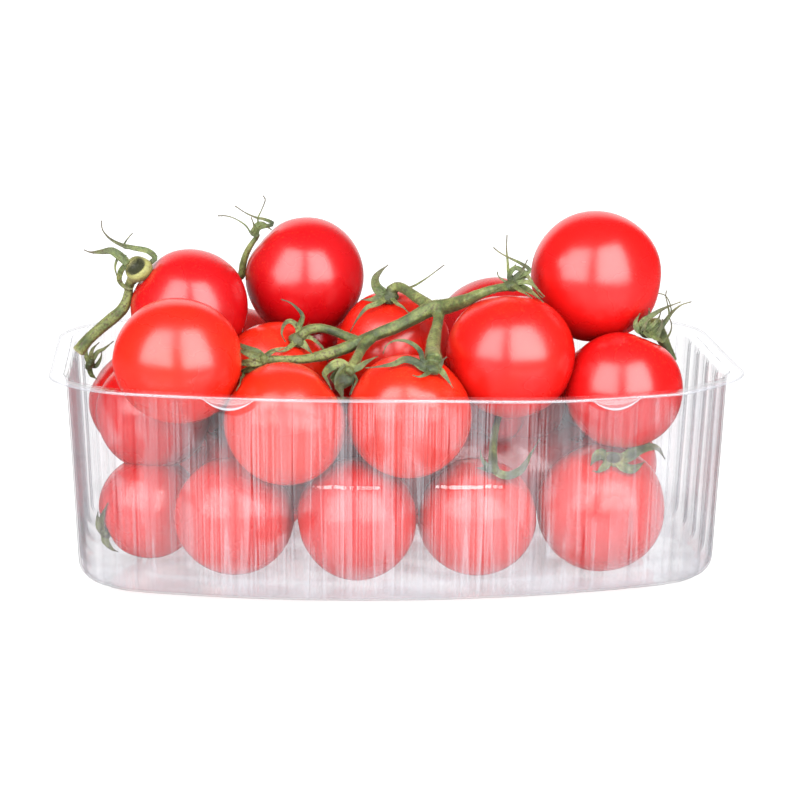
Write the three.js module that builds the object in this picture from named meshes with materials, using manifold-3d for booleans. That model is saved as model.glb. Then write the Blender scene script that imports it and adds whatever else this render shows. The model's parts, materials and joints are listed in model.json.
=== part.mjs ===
// A clear plastic punnet, heaped with cherry tomatoes on their vines.
// Millimetres, +Z up, +X along the punnet's length, the shown long side towards -Y.
// The origin is under the middle of the punnet, on the surface it stands on.
import * as THREE from "three";
import { RoundedBoxGeometry } from "three/addons/geometries/RoundedBoxGeometry.js";
import { mergeVertices } from "three/addons/utils/BufferGeometryUtils.js";
import Module from "manifold-3d";

const wasm = await Module();
wasm.setup();

// The punnet
const rimLength = 187; // over the rim, along X
const rimDepth = 137; // over the rim, along Y, at the middle of the bowed long sides
const rimHeight = 55;
const skin = 0.5; // thickness of the formed sheet
const flangeWidth = 4.5;
const cornerRadius = 32;
const bowAngle = THREE.MathUtils.degToRad(18); // each long side turns this far to both sides of its middle
const draft = 2.7; // how far each wall leans in between the rim and the floor
const footRadius = 8; // round edge between wall and floor
const fluteCount = 40;
const fluteDepth = 0.8;
const fluteWidth = 4.4;
const fluteTop = 52;
const dipX = 50; // the finger dips in the long sides' flanges, to both sides of the middle
const dipWidth = 13.4;
const dipDepth = 3.4;
const padX = 16; // the pressed-in pads in the long walls, to both sides of the middle
const padWidth = 18;
const padBottom = 31;
const padDepth = 1.2;
const panelInset = 24; // the raised middle of the floor, measured in from the rim
const panelRise = 0.6;

// The tomatoes and their green parts
const clearGap = 0.3; // between pieces that rest on each other
const floorTop = skin + panelRise;
const stemSides = 5;

const clearPlastic = new THREE.MeshStandardMaterial({
  color: 0xf1f3f5, roughness: 0.12, metalness: 0, transparent: true, opacity: 0.35,
});
const tomatoRed = new THREE.MeshStandardMaterial({ color: 0xe0200f, roughness: 0.22, metalness: 0 });
const vineGreen = new THREE.MeshStandardMaterial({ color: 0x71864a, roughness: 0.7, metalness: 0 });

// ---------- solids: closed meshes in, joins and cuts, closed meshes out ----------

function solidOf(geometry) {
  const bare = geometry.clone();
  bare.deleteAttribute("normal");
  bare.deleteAttribute("uv");
  const merged = mergeVertices(bare, 1e-4);
  return new wasm.Manifold(new wasm.Mesh({
    numProp: 3,
    vertProperties: new Float32Array(merged.attributes.position.array),
    triVerts: new Uint32Array(merged.index.array),
  }));
}

const joined = (solids) => solids.reduce((whole, next) => whole.add(next));

// The largest closed skin of a solid: sealed hollows are filled and loose scraps dropped.
function outerSkin(solid) {
  const largest = solid.decompose().sort((a, b) => b.volume() - a.volume())[0];
  const mesh = largest.getMesh();
  const geometry = new THREE.BufferGeometry();
  geometry.setAttribute("position", new THREE.BufferAttribute(mesh.vertProperties, 3));
  geometry.setIndex(new THREE.BufferAttribute(mesh.triVerts, 1));
  return geometry;
}

function piece(name, solid, material) {
  const geometry = outerSkin(solid);
  geometry.computeVertexNormals();
  const mesh = new THREE.Mesh(geometry, material);
  mesh.name = name;
  return mesh;
}

// A bar along a curve, with a flat or round section that may change along it: sizeAt(t) gives its half width and half
// thickness. Where facing is given, the bar's flat side looks that way.
function sweep(curve, sides, steps, sizeAt, facing) {
  const bar = new THREE.CylinderGeometry(1, 1, 1, sides, steps);
  const place = bar.attributes.position;
  const lookTo = facing ?? new THREE.Vector3(0.13, -0.9, 0.42).normalize();
  for (let i = 0; i < place.count; i += 1) {
    const t = 0.5 - place.getY(i);
    const along = curve.getTangent(t);
    const across = new THREE.Vector3().crossVectors(lookTo, along).normalize();
    const out = new THREE.Vector3().crossVectors(along, across);
    const [halfWidth, halfThickness] = sizeAt(t);
    const spot = curve.getPoint(t)
      .addScaledVector(across, place.getX(i) * halfWidth)
      .addScaledVector(out, place.getZ(i) * halfThickness);
    place.setXYZ(i, spot.x, spot.y, spot.z);
  }
  return solidOf(bar);
}

// ---------- the punnet ----------

// The rim's outer edge: straight ends, round corners, and long sides that bow outwards.
function rimOutline() {
  const cornerX = rimLength / 2 - cornerRadius;
  const bowRadius = cornerX / Math.sin(bowAngle) + cornerRadius;
  const bowY = rimDepth / 2 - bowRadius;
  const cornerY = bowY + (bowRadius - cornerRadius) * Math.cos(bowAngle);
  const turn = Math.PI / 2 - bowAngle; // direction of the outline's normal where a corner meets a long side
  const path = new THREE.Path();
  path.moveTo(rimLength / 2, -cornerY);
  path.lineTo(rimLength / 2, cornerY);
  path.absarc(cornerX, cornerY, cornerRadius, 0, turn);
  path.absarc(0, bowY, bowRadius, turn, Math.PI - turn);
  path.absarc(-cornerX, cornerY, cornerRadius, Math.PI - turn, Math.PI);
  path.lineTo(-rimLength / 2, -cornerY);
  path.absarc(-cornerX, -cornerY, cornerRadius, Math.PI, Math.PI + turn);
  path.absarc(0, -bowY, bowRadius, Math.PI + turn, 2 * Math.PI - turn);
  path.absarc(cornerX, -cornerY, cornerRadius, -turn, 0);
  return { path, bowRadius, bowY };
}

const rim = rimOutline();
const rimGirth = rim.path.getLength();

// The point at a distance along the rim, moved in from it.
function insideRim(distance, inset) {
  const u = THREE.MathUtils.euclideanModulo(distance / rimGirth, 1);
  const spot = rim.path.getPointAt(u);
  const along = rim.path.getTangentAt(u);
  return new THREE.Vector2(spot.x - along.y * inset, spot.y + along.x * inset);
}

// Distances along the rim of the four dips' middles.
function dipMiddles() {
  const endLength = rimGirth / 4; // from the middle of an end, at u = 0 plus half the end, to a long side's middle
  const halfEnd = (rimGirth - 4 * sideReach() - 4 * cornerRadius * (Math.PI / 2 - bowAngle)) / 4;
  const toMiddle = rim.bowRadius * Math.asin(dipX / rim.bowRadius);
  const firstSide = halfEnd + endLength;
  return [firstSide - toMiddle, firstSide + toMiddle]
    .flatMap((distance) => [distance, distance + rimGirth / 2]);
}

const sideReach = () => rim.bowRadius * bowAngle; // half the length of a bowed side

const fluteSpan = rimGirth / fluteCount;
const foldedDistance = (distance, span) =>
  Math.abs(THREE.MathUtils.euclideanModulo(distance + span / 2, span) - span / 2);
const fluteAt = (distance) =>
  fluteDepth * Math.max(0, 1 - foldedDistance(distance - fluteSpan / 2, fluteSpan) / (fluteWidth / 2));

function dipAt(distance, middles) {
  const off = Math.min(...middles.map((middle) => foldedDistance(distance - middle, rimGirth)));
  return off < dipWidth / 2 ? dipDepth * Math.sqrt(1 - (2 * off / dipWidth) ** 2) : 0;
}

// Where the rings of the sheet have their points: both edges and the bottom of each flute, and round each dip.
function stations(middles) {
  const flutes = Array.from({ length: fluteCount }, (_, i) => (i + 0.5) * fluteSpan)
    .flatMap((middle) => [-1, 0, 1].map((side) => middle + side * fluteWidth / 2));
  const dips = middles.flatMap((middle) =>
    [-1, -0.85, 0, 0.85, 1].map((side) => middle + side * dipWidth / 2));
  const sorted = [...flutes, ...dips]
    .map((distance) => THREE.MathUtils.euclideanModulo(distance, rimGirth))
    .sort((a, b) => a - b);
  return sorted.filter((distance, i) => i === 0 || distance - sorted[i - 1] > 0.05);
}

// The formed sheet: rings round the punnet, from the floor's underside up the outside, over the rim and down inside.
function sheet() {
  const middles = dipMiddles();
  const spots = stations(middles);
  const leanAt = (z) => draft * (rimHeight - z) / rimHeight;
  const foot = (angle, offset) => ({ // round foot, from the wall (angle 0) to the floor (a quarter turn)
    inset: flangeWidth + leanAt(footRadius) + footRadius - (footRadius - offset) * Math.cos(angle),
    z: footRadius - (footRadius - offset) * Math.sin(angle),
    flute: Math.cos(angle),
    dip: 0,
  });
  const wall = (z, offset, flute) => ({ inset: flangeWidth + leanAt(z) + offset, z, flute, dip: 0 });
  const rings = [
    foot(Math.PI / 2, 0), foot(Math.PI / 4, 0), foot(0, 0), wall(fluteTop, 0, 1), wall(rimHeight - skin, 0, 0),
    { inset: 0, z: rimHeight - skin, flute: 0, dip: 1 },
    { inset: 0, z: rimHeight, flute: 0, dip: 1 },
    wall(rimHeight, skin, 0), wall(fluteTop, skin, 1), foot(0, skin), foot(Math.PI / 4, skin), foot(Math.PI / 2, skin),
  ];
  const positions = [];
  for (const ring of rings) {
    for (const distance of spots) {
      const spot = insideRim(distance, ring.inset + ring.flute * fluteAt(distance));
      positions.push(spot.x, spot.y, ring.z - ring.dip * dipAt(distance, middles));
    }
  }
  const count = spots.length;
  const underside = positions.length / 3;
  positions.push(0, 0, rings[0].z, 0, 0, rings.at(-1).z);
  const index = [];
  for (let i = 0; i < count; i += 1) {
    const next = (i + 1) % count;
    for (let r = 0; r + 1 < rings.length; r += 1) {
      const [a, b, c, d] = [r * count + i, r * count + next, (r + 1) * count + next, (r + 1) * count + i];
      index.push(a, b, c, a, c, d);
    }
    const top = (rings.length - 1) * count;
    index.push(underside, next, i, underside + 1, top + i, top + next);
  }
  const geometry = new THREE.BufferGeometry();
  geometry.setAttribute("position", new THREE.Float32BufferAttribute(positions, 3));
  geometry.setIndex(index);
  return solidOf(geometry);
}

// A slab in the outline of the floor's raised panel.
function panelSlab(inset, bottom, top) {
  const steps = 28;
  const points = Array.from({ length: steps }, (_, i) => insideRim(i * rimGirth / steps, inset));
  const slab = new THREE.ExtrudeGeometry(new THREE.Shape(points), { depth: top - bottom, bevelEnabled: false });
  return solidOf(slab.translate(0, 0, bottom));
}

// A block in a long wall at one pad, grown by a margin, from an inner to an outer depth measured at the wall's face.
function padBlock(side, end, margin, inner, outer) {
  const top = rimHeight - skin - 0.1;
  const height = top - padBottom + margin;
  const block = new THREE.BoxGeometry(padWidth + 2 * margin, outer - inner, height);
  block.translate(0, -(outer + inner) / 2, 0);
  block.rotateX(Math.atan(draft / rimHeight));
  const lean = flangeWidth + draft * (rimHeight - (top + padBottom) / 2) / rimHeight;
  const turn = Math.asin(padX / rim.bowRadius);
  const reach = rim.bowRadius - lean;
  block.translate(0, -reach, top - height / 2);
  block.rotateZ(end * turn);
  block.translate(0, -rim.bowY, 0);
  if (side > 0) block.rotateZ(Math.PI);
  return solidOf(block);
}

function punnet() {
  let tray = sheet()
    .add(panelSlab(panelInset, skin / 2, floorTop))
    .subtract(panelSlab(panelInset + skin, -1, panelRise));
  for (const side of [-1, 1]) {
    for (const end of [-1, 1]) {
      tray = tray.add(padBlock(side, end, skin, -padDepth - skin, -skin / 2))
        .subtract(padBlock(side, end, 0, -padDepth, 3));
    }
  }
  return tray;
}

// ---------- the tomatoes ----------

// Each as x, y, z of its middle and its radius. The bottom layer has no z, because it lies on the floor.
const bottomLayer = [
  [-67.3, -15.3, 14.1], [-44.5, -34, 16.1], [-12, -40, 16.4], [20.5, -38, 16], [54.5, -35, 17.3],
  [-59.5, 36, 14], [-31, 42, 15.8], [2, 44, 16.3], [35, 41, 16.4], [64, 26, 15.6],
];
const middleLayer = [
  [-70, 18, 38, 15], [-66, -13, 42.6, 15.4], [-31, -42.8, 44.5, 16.4], [1.5, -44.2, 46.5, 16.4],
  [61, -37.8, 52, 15.3], [62, 2, 42.5, 15.5], [33, -8, 42.5, 15], [-42, 35, 46, 15.8], [-10, 37, 47, 16],
  [-45, 9, 38, 13.5], [-19, 11, 41, 13], [11, 14, 37.5, 15],
];
const topLayer = [
  [-59, -39, 62, 17], [-56, -7, 70, 15.6], [-24, 8, 76, 16.2], [-33, -14, 52, 14.5], [0, -8, 58.5, 15.8],
  [30, -35, 60.5, 17.3], [54.5, -24, 81, 17.2], [32.7, 33, 53.5, 17.3],
];
const tomatoes = [
  ...bottomLayer.map(([x, y, radius]) => ({ middle: [x, y, floorTop + clearGap + radius], radius })),
  ...[...middleLayer, ...topLayer].map(([x, y, z, radius]) => ({ middle: [x, y, z], radius })),
];

// A few-sided ball, a little wider than the tomato, so that its sides lie at the tomato's radius on average.
function ball({ middle, radius }, grow = 0, sides = 10, layers = 6) {
  const shape = new THREE.SphereGeometry(radius + grow, sides, layers).scale(1.04, 1, 1.04);
  return solidOf(shape.rotateX(Math.PI / 2).translate(...middle));
}

// The core fills the middle of the heap, and its lumps fill the hollows that join the tomatoes above it.
const coreLumps = [
  [-50, -26, 49, 9], [-54, -8, 52, 9], [-21, 8, 58, 10], [2, 0, 42, 8], [2, -26, 38, 9], [28, -26, 42, 10],
  [62, -20, 38, 12], [57, -22, 60, 8], [33, 26, 36, 9], [-8, 28, 38, 8],
];

function heap() {
  const core = new RoundedBoxGeometry(110, 60, 28, 1, 10);
  core.translate(0, 4, 24);
  const lumps = coreLumps.map(([x, y, z, radius]) => ball({ middle: [x, y, z], radius }, 0, 6, 4));
  return joined([solidOf(core), ...lumps, ...tomatoes.map((tomato) => ball(tomato))]);
}

const heapRoom = joined(tomatoes.map((tomato) => ball(tomato, clearGap)));

// ---------- the green parts ----------

const routeOf = (points) => new THREE.CatmullRomCurve3(points.map((point) => new THREE.Vector3(...point)));

function stem(points, startRadius, endRadius) {
  const steps = Math.round(1.4 * (points.length - 1));
  return sweep(routeOf(points), stemSides, steps, (t) => {
    const radius = THREE.MathUtils.lerp(startRadius, endRadius, t);
    return [radius, radius];
  });
}

// A calyx: a small cap, and leaves that each run from it over a middle point to a tip, both measured from the cap.
function calyx({ hub, axis, leaves, capRadius = 2.1 }) {
  const facing = new THREE.Vector3(...axis).normalize();
  const cap = new THREE.SphereGeometry(capRadius, 5, 3);
  cap.scale(1, 0.7, 1);
  cap.applyQuaternion(new THREE.Quaternion().setFromUnitVectors(new THREE.Vector3(0, 1, 0), facing));
  cap.translate(...hub);
  const blades = leaves.map(([middle, tip]) => {
    const curve = new THREE.QuadraticBezierCurve3(
      new THREE.Vector3(...hub),
      new THREE.Vector3(...middle).add(new THREE.Vector3(...hub)),
      new THREE.Vector3(...tip).add(new THREE.Vector3(...hub)),
    );
    const sizeAt = (t) => [0.45 + 0.9 * Math.sin(Math.PI * Math.min(1, 0.25 + 0.75 * t)), 0.38 - 0.1 * t];
    return sweep(curve, 4, 3, sizeAt, facing);
  });
  return joined([solidOf(cap), ...blades]);
}

// The calyxes, by the tomato they hold. The leaves' points were judged from how far they reach past each cap.
const calyxes = {
  leftFront: {
    hub: [-41.3, -35.5, 60.3], axis: [1, 0.1, 0],
    leaves: [[[0.5, -2, 3], [-2, -3.5, 3.5]], [[1, -3, -1.5], [-1.5, -5, -3.5]], [[1, 2.5, 2], [-1, 5.5, 3]]],
  },
  leftMiddle: {
    hub: [-17.6, -41, 54.6], axis: [0.8, 0.05, 0.6],
    leaves: [[[1, -1.5, 5], [-4.5, -1.5, 4.5]], [[2.5, -2, -3], [0, -3.5, -5.5]],
      [[4, 1, 5.5], [9.5, 0, 8]], [[3.5, -2.5, 0.5], [5, -3.5, -1]]],
  },
  middleFront: {
    hub: [7.4, -51.2, 61], axis: [0.3, -0.45, 0.85],
    leaves: [[[-6, 1.5, 4], [-18.5, 3, 1.5]], [[-4.5, 5, 11], [-14, 4, 4]], [[4, 0.5, -1], [7, 0, -8.5]],
      [[2, 5, 1.5], [4.5, 8, 0.5]]],
  },
  leftBack: {
    hub: [-26.8, -20.3, 64.4], axis: [0.4, -0.4, 0.85],
    leaves: [[[1, 1, 5.5], [-4.5, 1.5, 9]], [[-5.5, 0, 4.5], [-4.5, -2, -1]], [[4, -1, -1], [7, -2.5, -4]],
      [[-3, -2, -2], [-5.5, -3.5, -4.5]]],
  },
  middleBack: {
    hub: [-1.7, -12, 74.4], axis: [0, -0.3, 0.95],
    leaves: [[[-7, 0, 3.5], [0.5, 1, 8.5]], [[-5, -2.5, 0.5], [-8, -4, -1.5]], [[-6, -6.5, -1], [-10.5, -8, -10]],
      [[4, -4, -1.5], [6, -5, -5]], [[6, 5, 2], [14.5, 6, 8]]],
  },
  rightFront: {
    hub: [32.6, -31, 78.2], axis: [0.15, 0.2, 0.95],
    leaves: [[[-4.5, -1, 3.5], [-4.2, 0, 14]], [[-1, 0, 8.5], [-6.8, 1, 10.6]], [[4, -1, -1], [5.5, -3, -4.5]],
      [[3, -3, 1], [2, -7, -2]], [[1, 2, 3], [1.6, 3, 7]]],
  },
  backLeft: {
    hub: [-68.6, -5, 81], axis: [-0.7, 0.05, 0.7],
    leaves: [[[5.5, 0.5, 4.5], [-10.5, 1, 13.5]], [[-2.5, -1, 4], [-15.5, 0, 4]], [[-3, 1, 4.5], [-2.5, 1.5, 8.5]],
      [[-7.5, -1.5, -1.5], [0.5, -2.5, -5]]],
  },
  backMiddle: {
    hub: [-36.7, 10.3, 86.2], axis: [-0.75, 0.1, 0.65],
    leaves: [[[-0.5, 0.5, 5], [5.5, 1, 3.5]], [[-3, 0, 6.5], [-6.5, 1, 9]], [[3.5, 0.5, 6.5], [1.6, 1.5, 12.5]],
      [[-3.5, 0, 5.5], [-11, 0.5, 5.8]]],
  },
  rightEnd: {
    hub: [65.5, -36.5, 67.2], axis: [0.3, 0.05, 0.95],
    leaves: [[[-3, -1, 1.5], [-4, -2, 1]], [[3, 0.5, 5], [6, 1, 11]], [[6, 0, 3], [13, 0.5, 8.5]],
      [[5.5, -1, 2], [7.5, -1, 1]], [[3.5, -3, -0.5], [2.5, -5.5, -3.5]]],
  },
  leftEnd: {
    hub: [-82.4, 16.6, 46.4], axis: [-0.8, -0.1, 0.55],
    leaves: [[[-2, -1, 3], [-1.5, -1, 6]], [[0.5, -2, 4], [2, -2, 7.5]], [[2.5, -3, 3], [5.5, -4, 7]],
      [[-1.5, -3, -2.5], [-1, -5, -5.5]]],
  },
  bottomMiddle: {
    hub: [25.2, -36.6, 33.3], axis: [0.3, -0.1, 0.95],
    leaves: [[[-2, -3, 4], [-5, -4.5, 7]], [[-2.5, -6, -0.5], [-4, -10, -3.5]], [[5, -5, 0], [10.5, -6, 0.5]],
      [[4, 3, 0], [8, 4, -2]]],
  },
  bottomRight: {
    hub: [57.6, -41, 35.8], axis: [0.15, -0.35, 0.9],
    leaves: [[[-3, -2, 0.5], [-6, -3.5, -1.5]], [[3, -2.5, 1.5], [6.5, -3.5, 0.5]], [[3, 3, 2], [8, 5, 2]],
      [[-2, 2, 1], [-4, 4, 0.5]]],
  },
  bottomLeft: {
    hub: [-80.2, -17.7, 9.1], axis: [-0.85, -0.15, -0.5],
    leaves: [[[-2.8, -2.5, 4.5], [-1.2, -4.5, 9]], [[-0.5, -2.5, -2], [2.5, -3.5, -4.5]],
      [[-2.5, 3, 1.5], [-1.8, 6, 4]]],
  },
};

// Front vine: one main stem from the right calyx to the left one, with a branch to each calyx between.
const frontStems = [
  [[[32.5, -31, 78.5], [29, -33.5, 79.3], [25, -34, 78.5], [18, -30, 75.5], [12.5, -23, 72], [8, -20.5, 72],
    [0, -24, 68], [-8, -25, 64.5], [-15, -25, 61.5], [-19.5, -27, 60], [-25, -30.5, 60], [-30.5, -32, 60.2],
    [-35.5, -33, 60.2], [-41, -35, 60.3]], 1.5, 1.5],
  [[[11.5, -22, 72], [10.5, -26, 68.5], [9.5, -34, 65.5], [8, -44, 63.5], [7.4, -50.5, 61.3]], 1.2, 1.9],
  [[[8, -20.5, 72], [5, -19, 73.5], [1.5, -16, 76], [-0.7, -13.5, 76.3], [-1.6, -12.2, 74.6]], 1.3, 1.4],
  [[[-7, -25, 65], [-10, -28, 62.5], [-12, -33, 60.5], [-13, -37, 58.5], [-17, -40.7, 55.2]], 1.1, 1.4],
  [[[-15, -25, 61.5], [-17.5, -24, 64], [-19.5, -22.5, 65.5], [-23, -21.5, 66.2], [-26.6, -20.5, 65]], 1.1, 1.4],
];

// Back vine: its cut end lies on the left rim. It passes behind the left tomatoes to the one at the back.
const backStems = [
  [[[-87, -6, 57.2], [-83.5, -6, 61.5], [-78.5, -6, 66.5], [-74.5, -6, 70.5], [-73, -5.5, 74], [-72.5, -5, 78],
    [-69, -5, 81]], 1.7, 1.4],
  [[[-73, -5.5, 75], [-69, 2, 77], [-62, 10, 78], [-54, 13, 76], [-46, 13.5, 75], [-42, 12.8, 77],
    [-39.5, 11.8, 82], [-37, 10.5, 86]], 1.2, 1.1],
];

// Right end: a piece of vine that comes up past the tomato's calyx.
const endStem = [[[65.6, -35.5, 67.6], [68, -31, 71.5], [70.5, -29, 67.5], [73, -27.5, 62.5], [75.6, -26, 57]], 1.3, 1.6];

function greenPiece(name, stems, holders) {
  const solids = [
    ...stems.map(([points, start, end]) => stem(points, start, end)),
    ...holders.map((holder) => calyx(calyxes[holder])),
  ];
  return piece(name, joined(solids).subtract(heapRoom), vineGreen);
}

// ---------- the object ----------

const object = new THREE.Group();
object.add(
  piece("tray", punnet(), clearPlastic),
  piece("tomatoes", heap(), tomatoRed),
  greenPiece("vine_front", frontStems,
    ["leftFront", "leftMiddle", "middleFront", "leftBack", "middleBack", "rightFront"]),
  greenPiece("vine_back", backStems, ["backLeft", "backMiddle"]),
  greenPiece("calyx_right", [endStem], ["rightEnd"]),
  greenPiece("calyx_left", [], ["leftEnd"]),
  greenPiece("calyx_bottom_middle", [], ["bottomMiddle"]),
  greenPiece("calyx_bottom_right", [], ["bottomRight"]),
  greenPiece("calyx_bottom_left", [], ["bottomLeft"]),
);

export default object;
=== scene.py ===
import json
import math
import random

import bmesh
import bpy
import numpy as np
from mathutils import Matrix, Vector, noise

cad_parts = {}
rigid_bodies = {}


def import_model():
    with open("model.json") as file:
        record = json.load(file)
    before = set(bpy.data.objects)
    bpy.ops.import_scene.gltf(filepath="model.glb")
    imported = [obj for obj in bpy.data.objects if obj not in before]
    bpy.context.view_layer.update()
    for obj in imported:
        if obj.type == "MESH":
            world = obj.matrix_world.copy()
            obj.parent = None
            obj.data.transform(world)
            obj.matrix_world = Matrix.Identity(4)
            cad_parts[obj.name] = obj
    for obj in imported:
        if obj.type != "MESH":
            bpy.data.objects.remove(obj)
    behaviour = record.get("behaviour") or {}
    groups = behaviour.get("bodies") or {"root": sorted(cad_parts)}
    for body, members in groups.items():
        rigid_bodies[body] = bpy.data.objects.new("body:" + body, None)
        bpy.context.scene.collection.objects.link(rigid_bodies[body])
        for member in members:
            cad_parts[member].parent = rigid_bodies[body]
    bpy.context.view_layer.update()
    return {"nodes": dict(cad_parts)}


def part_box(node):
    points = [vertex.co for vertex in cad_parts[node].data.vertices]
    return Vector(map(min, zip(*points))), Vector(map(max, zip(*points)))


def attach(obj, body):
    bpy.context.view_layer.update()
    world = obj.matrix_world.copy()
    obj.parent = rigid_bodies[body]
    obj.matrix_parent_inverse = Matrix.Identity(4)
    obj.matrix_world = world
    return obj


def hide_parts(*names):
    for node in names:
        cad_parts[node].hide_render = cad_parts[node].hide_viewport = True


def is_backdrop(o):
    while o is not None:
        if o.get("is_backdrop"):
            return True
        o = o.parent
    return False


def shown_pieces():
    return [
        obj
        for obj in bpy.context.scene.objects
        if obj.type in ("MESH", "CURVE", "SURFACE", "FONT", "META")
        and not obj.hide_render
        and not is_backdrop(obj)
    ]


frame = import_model()
mm = 0.001
scene = bpy.context.scene
print("stage 1: the packed part is loaded")


# Short helpers for nodes, meshes and finished pieces

def put(tree, kind, inputs=None, **options):
    node = tree.nodes.new(kind)
    for name, value in options.items():
        setattr(node, name, value)
    for name, value in (inputs or {}).items():
        if isinstance(value, bpy.types.NodeSocket):
            tree.links.new(value, node.inputs[name])
        else:
            node.inputs[name].default_value = value
    return node


def ramp(tree, factor, stops):
    node = put(tree, "ShaderNodeValToRGB", {"Fac": factor})
    elements = node.color_ramp.elements
    while len(elements) < len(stops):
        elements.new(1.0)
    for element, (place, colour) in zip(elements, stops):
        element.position = place
        element.color = (*colour, 1.0) if len(colour) == 3 else colour
    return node.outputs["Color"]


def math2(tree, operation, first, second, clamp=False):
    node = put(tree, "ShaderNodeMath", operation=operation, use_clamp=clamp)
    for socket, value in zip(node.inputs, (first, second)):
        if isinstance(value, bpy.types.NodeSocket):
            tree.links.new(value, socket)
        else:
            socket.default_value = value
    return node.outputs[0]


def remap(tree, value, low, high, toLow=0.0, toHigh=1.0, course="LINEAR"):
    node = put(tree, "ShaderNodeMapRange", {
        "Value": value, "From Min": low, "From Max": high, "To Min": toLow, "To Max": toHigh},
        interpolation_type=course)
    return node.outputs["Result"]


def blendColours(tree, factor, first, second):
    node = put(tree, "ShaderNodeMixRGB", {"Fac": factor, "Color1": first, "Color2": second})
    return node.outputs["Color"]


def product(tree, *values):
    result = values[0]
    for value in values[1:]:
        result = math2(tree, "MULTIPLY", result, value)
    return result


def total(tree, *values):
    result = values[0]
    for value in values[1:]:
        result = math2(tree, "ADD", result, value)
    return result


def lessened(tree, value, most):
    # What is left of 1 once the value's share of the most is taken off
    return math2(tree, "SUBTRACT", 1.0, product(tree, value, most))


def objectSpots(tree):
    return put(tree, "ShaderNodeTexCoord").outputs["Object"]


def attributeOf(tree, name):
    return put(tree, "ShaderNodeAttribute", attribute_name=name).outputs["Fac"]


def noiseOf(tree, spots, scale, detail):
    return put(tree, "ShaderNodeTexNoise", {"Vector": spots, "Scale": scale, "Detail": detail}).outputs["Fac"]


def cellsOf(tree, spots, scale):
    return put(tree, "ShaderNodeTexVoronoi", {"Vector": spots, "Scale": scale}).outputs["Distance"]


def bumpOf(tree, height, strength, distance, more=None, invert=False):
    node = put(tree, "ShaderNodeBump", {
        "Height": height, "Strength": strength, "Distance": distance, **(more or {})}, invert=invert)
    return node.outputs[0]


def partsOf(tree, vector):
    return put(tree, "ShaderNodeSeparateXYZ", {"Vector": vector}).outputs


def freshMaterial(name):
    material = bpy.data.materials.new(name)
    material.use_nodes = True
    material.node_tree.nodes.clear()
    return material, material.node_tree


def finishMaterial(tree, shader):
    put(tree, "ShaderNodeOutputMaterial", {"Surface": shader})


def meshOf(name, vertices, faces):
    mesh = bpy.data.meshes.new(name)
    mesh.from_pydata([tuple(v) for v in vertices], [], [tuple(f) for f in faces])
    mesh.validate()
    mesh.update()
    return mesh


def objectOf(name, mesh):
    thing = bpy.data.objects.new(name, mesh)
    scene.collection.objects.link(thing)
    return thing


def setAttribute(mesh, name, values, kind="FLOAT"):
    attribute = mesh.attributes.new(name, kind, "POINT")
    field = "vector" if kind == "FLOAT_VECTOR" else "value"
    attribute.data.foreach_set(field, np.asarray(values).ravel())


def settled(thing, name):
    # The evaluated mesh, in place of the object and its modifiers
    bpy.context.view_layer.update()
    graph = bpy.context.evaluated_depsgraph_get()
    mesh = bpy.data.meshes.new_from_object(thing.evaluated_get(graph), depsgraph=graph)
    mesh.name = name
    bpy.data.objects.remove(thing)
    return mesh


def blended(thing, name, voxel, factor, times):
    # The thing's mesh as one even skin, softened
    remesh = thing.modifiers.new("blend", "REMESH")
    remesh.mode = "VOXEL"
    remesh.voxel_size = voxel * mm
    soften = thing.modifiers.new("soften", "SMOOTH")
    soften.factor, soften.iterations = factor, times
    return settled(thing, name)


def smoothShaded(mesh):
    mesh.polygons.foreach_set("use_smooth", [True] * len(mesh.polygons))


def ringFaces(rings, sides):
    # A closed form's faces: four-cornered ones between each ring of points and the next, and its two ends
    faces = []
    for ring in range(rings - 1):
        low, high = ring * sides, (ring + 1) * sides
        for side in range(sides):
            after = (side + 1) % sides
            faces.append((low + side, low + after, high + after, high + side))
    faces.append(tuple(range(sides))[::-1])
    faces.append(tuple((rings - 1) * sides + side for side in range(sides)))
    return faces


def finishedPiece(name, mesh, replaced):
    thing = objectOf(name, mesh)
    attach(thing, "root")
    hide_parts(replaced)


def smoothStep(value, low, high):
    share = min(1.0, max(0.0, (value - low) / (high - low)))
    return share * share * (3 - 2 * share)


def nodeTree(name, sockets):
    # A Geometry Nodes tree with named inputs, and those inputs
    tree = bpy.data.node_groups.new(name, "GeometryNodeTree")
    tree.interface.new_socket(name="Geometry", in_out="INPUT", socket_type="NodeSocketGeometry")
    for socketName, kind in sockets:
        tree.interface.new_socket(name=socketName, in_out="INPUT", socket_type="NodeSocket" + kind)
    tree.interface.new_socket(name="Geometry", in_out="OUTPUT", socket_type="NodeSocketGeometry")
    return tree, tree.nodes.new("NodeGroupInput").outputs


def endTree(tree, geometry, material):
    realized = put(tree, "GeometryNodeRealizeInstances", {"Geometry": geometry})
    finished = put(tree, "GeometryNodeSetMaterial", {"Geometry": realized.outputs[0], "Material": material})
    output = tree.nodes.new("NodeGroupOutput")
    tree.links.new(finished.outputs[0], output.inputs[0])


def growNodes(thing, tree, values):
    modifier = thing.modifiers.new(tree.name, "NODES")
    modifier.node_group = tree
    for item in tree.interface.items_tree:
        if item.in_out == "INPUT" and item.name in values:
            modifier[item.identifier] = values[item.name]


def namedAttribute(tree, name, kind):
    return put(tree, "GeometryNodeInputNamedAttribute", {"Name": name}, data_type=kind).outputs[0]


def vectorScaled(tree, vector, factor):
    node = put(tree, "ShaderNodeVectorMath", {0: vector, "Scale": factor}, operation="SCALE")
    return node.outputs["Vector"]


# Camera, at the photograph's viewing angle
cameraSettings = {
    "place": (-54.273, -753.009, 202.422),
    "target": (2.443, 0.0, 41.485),
    "roll": 0.391,  # degrees
    "lens": 124.2,
    "sensor": 36.0,
}


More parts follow.
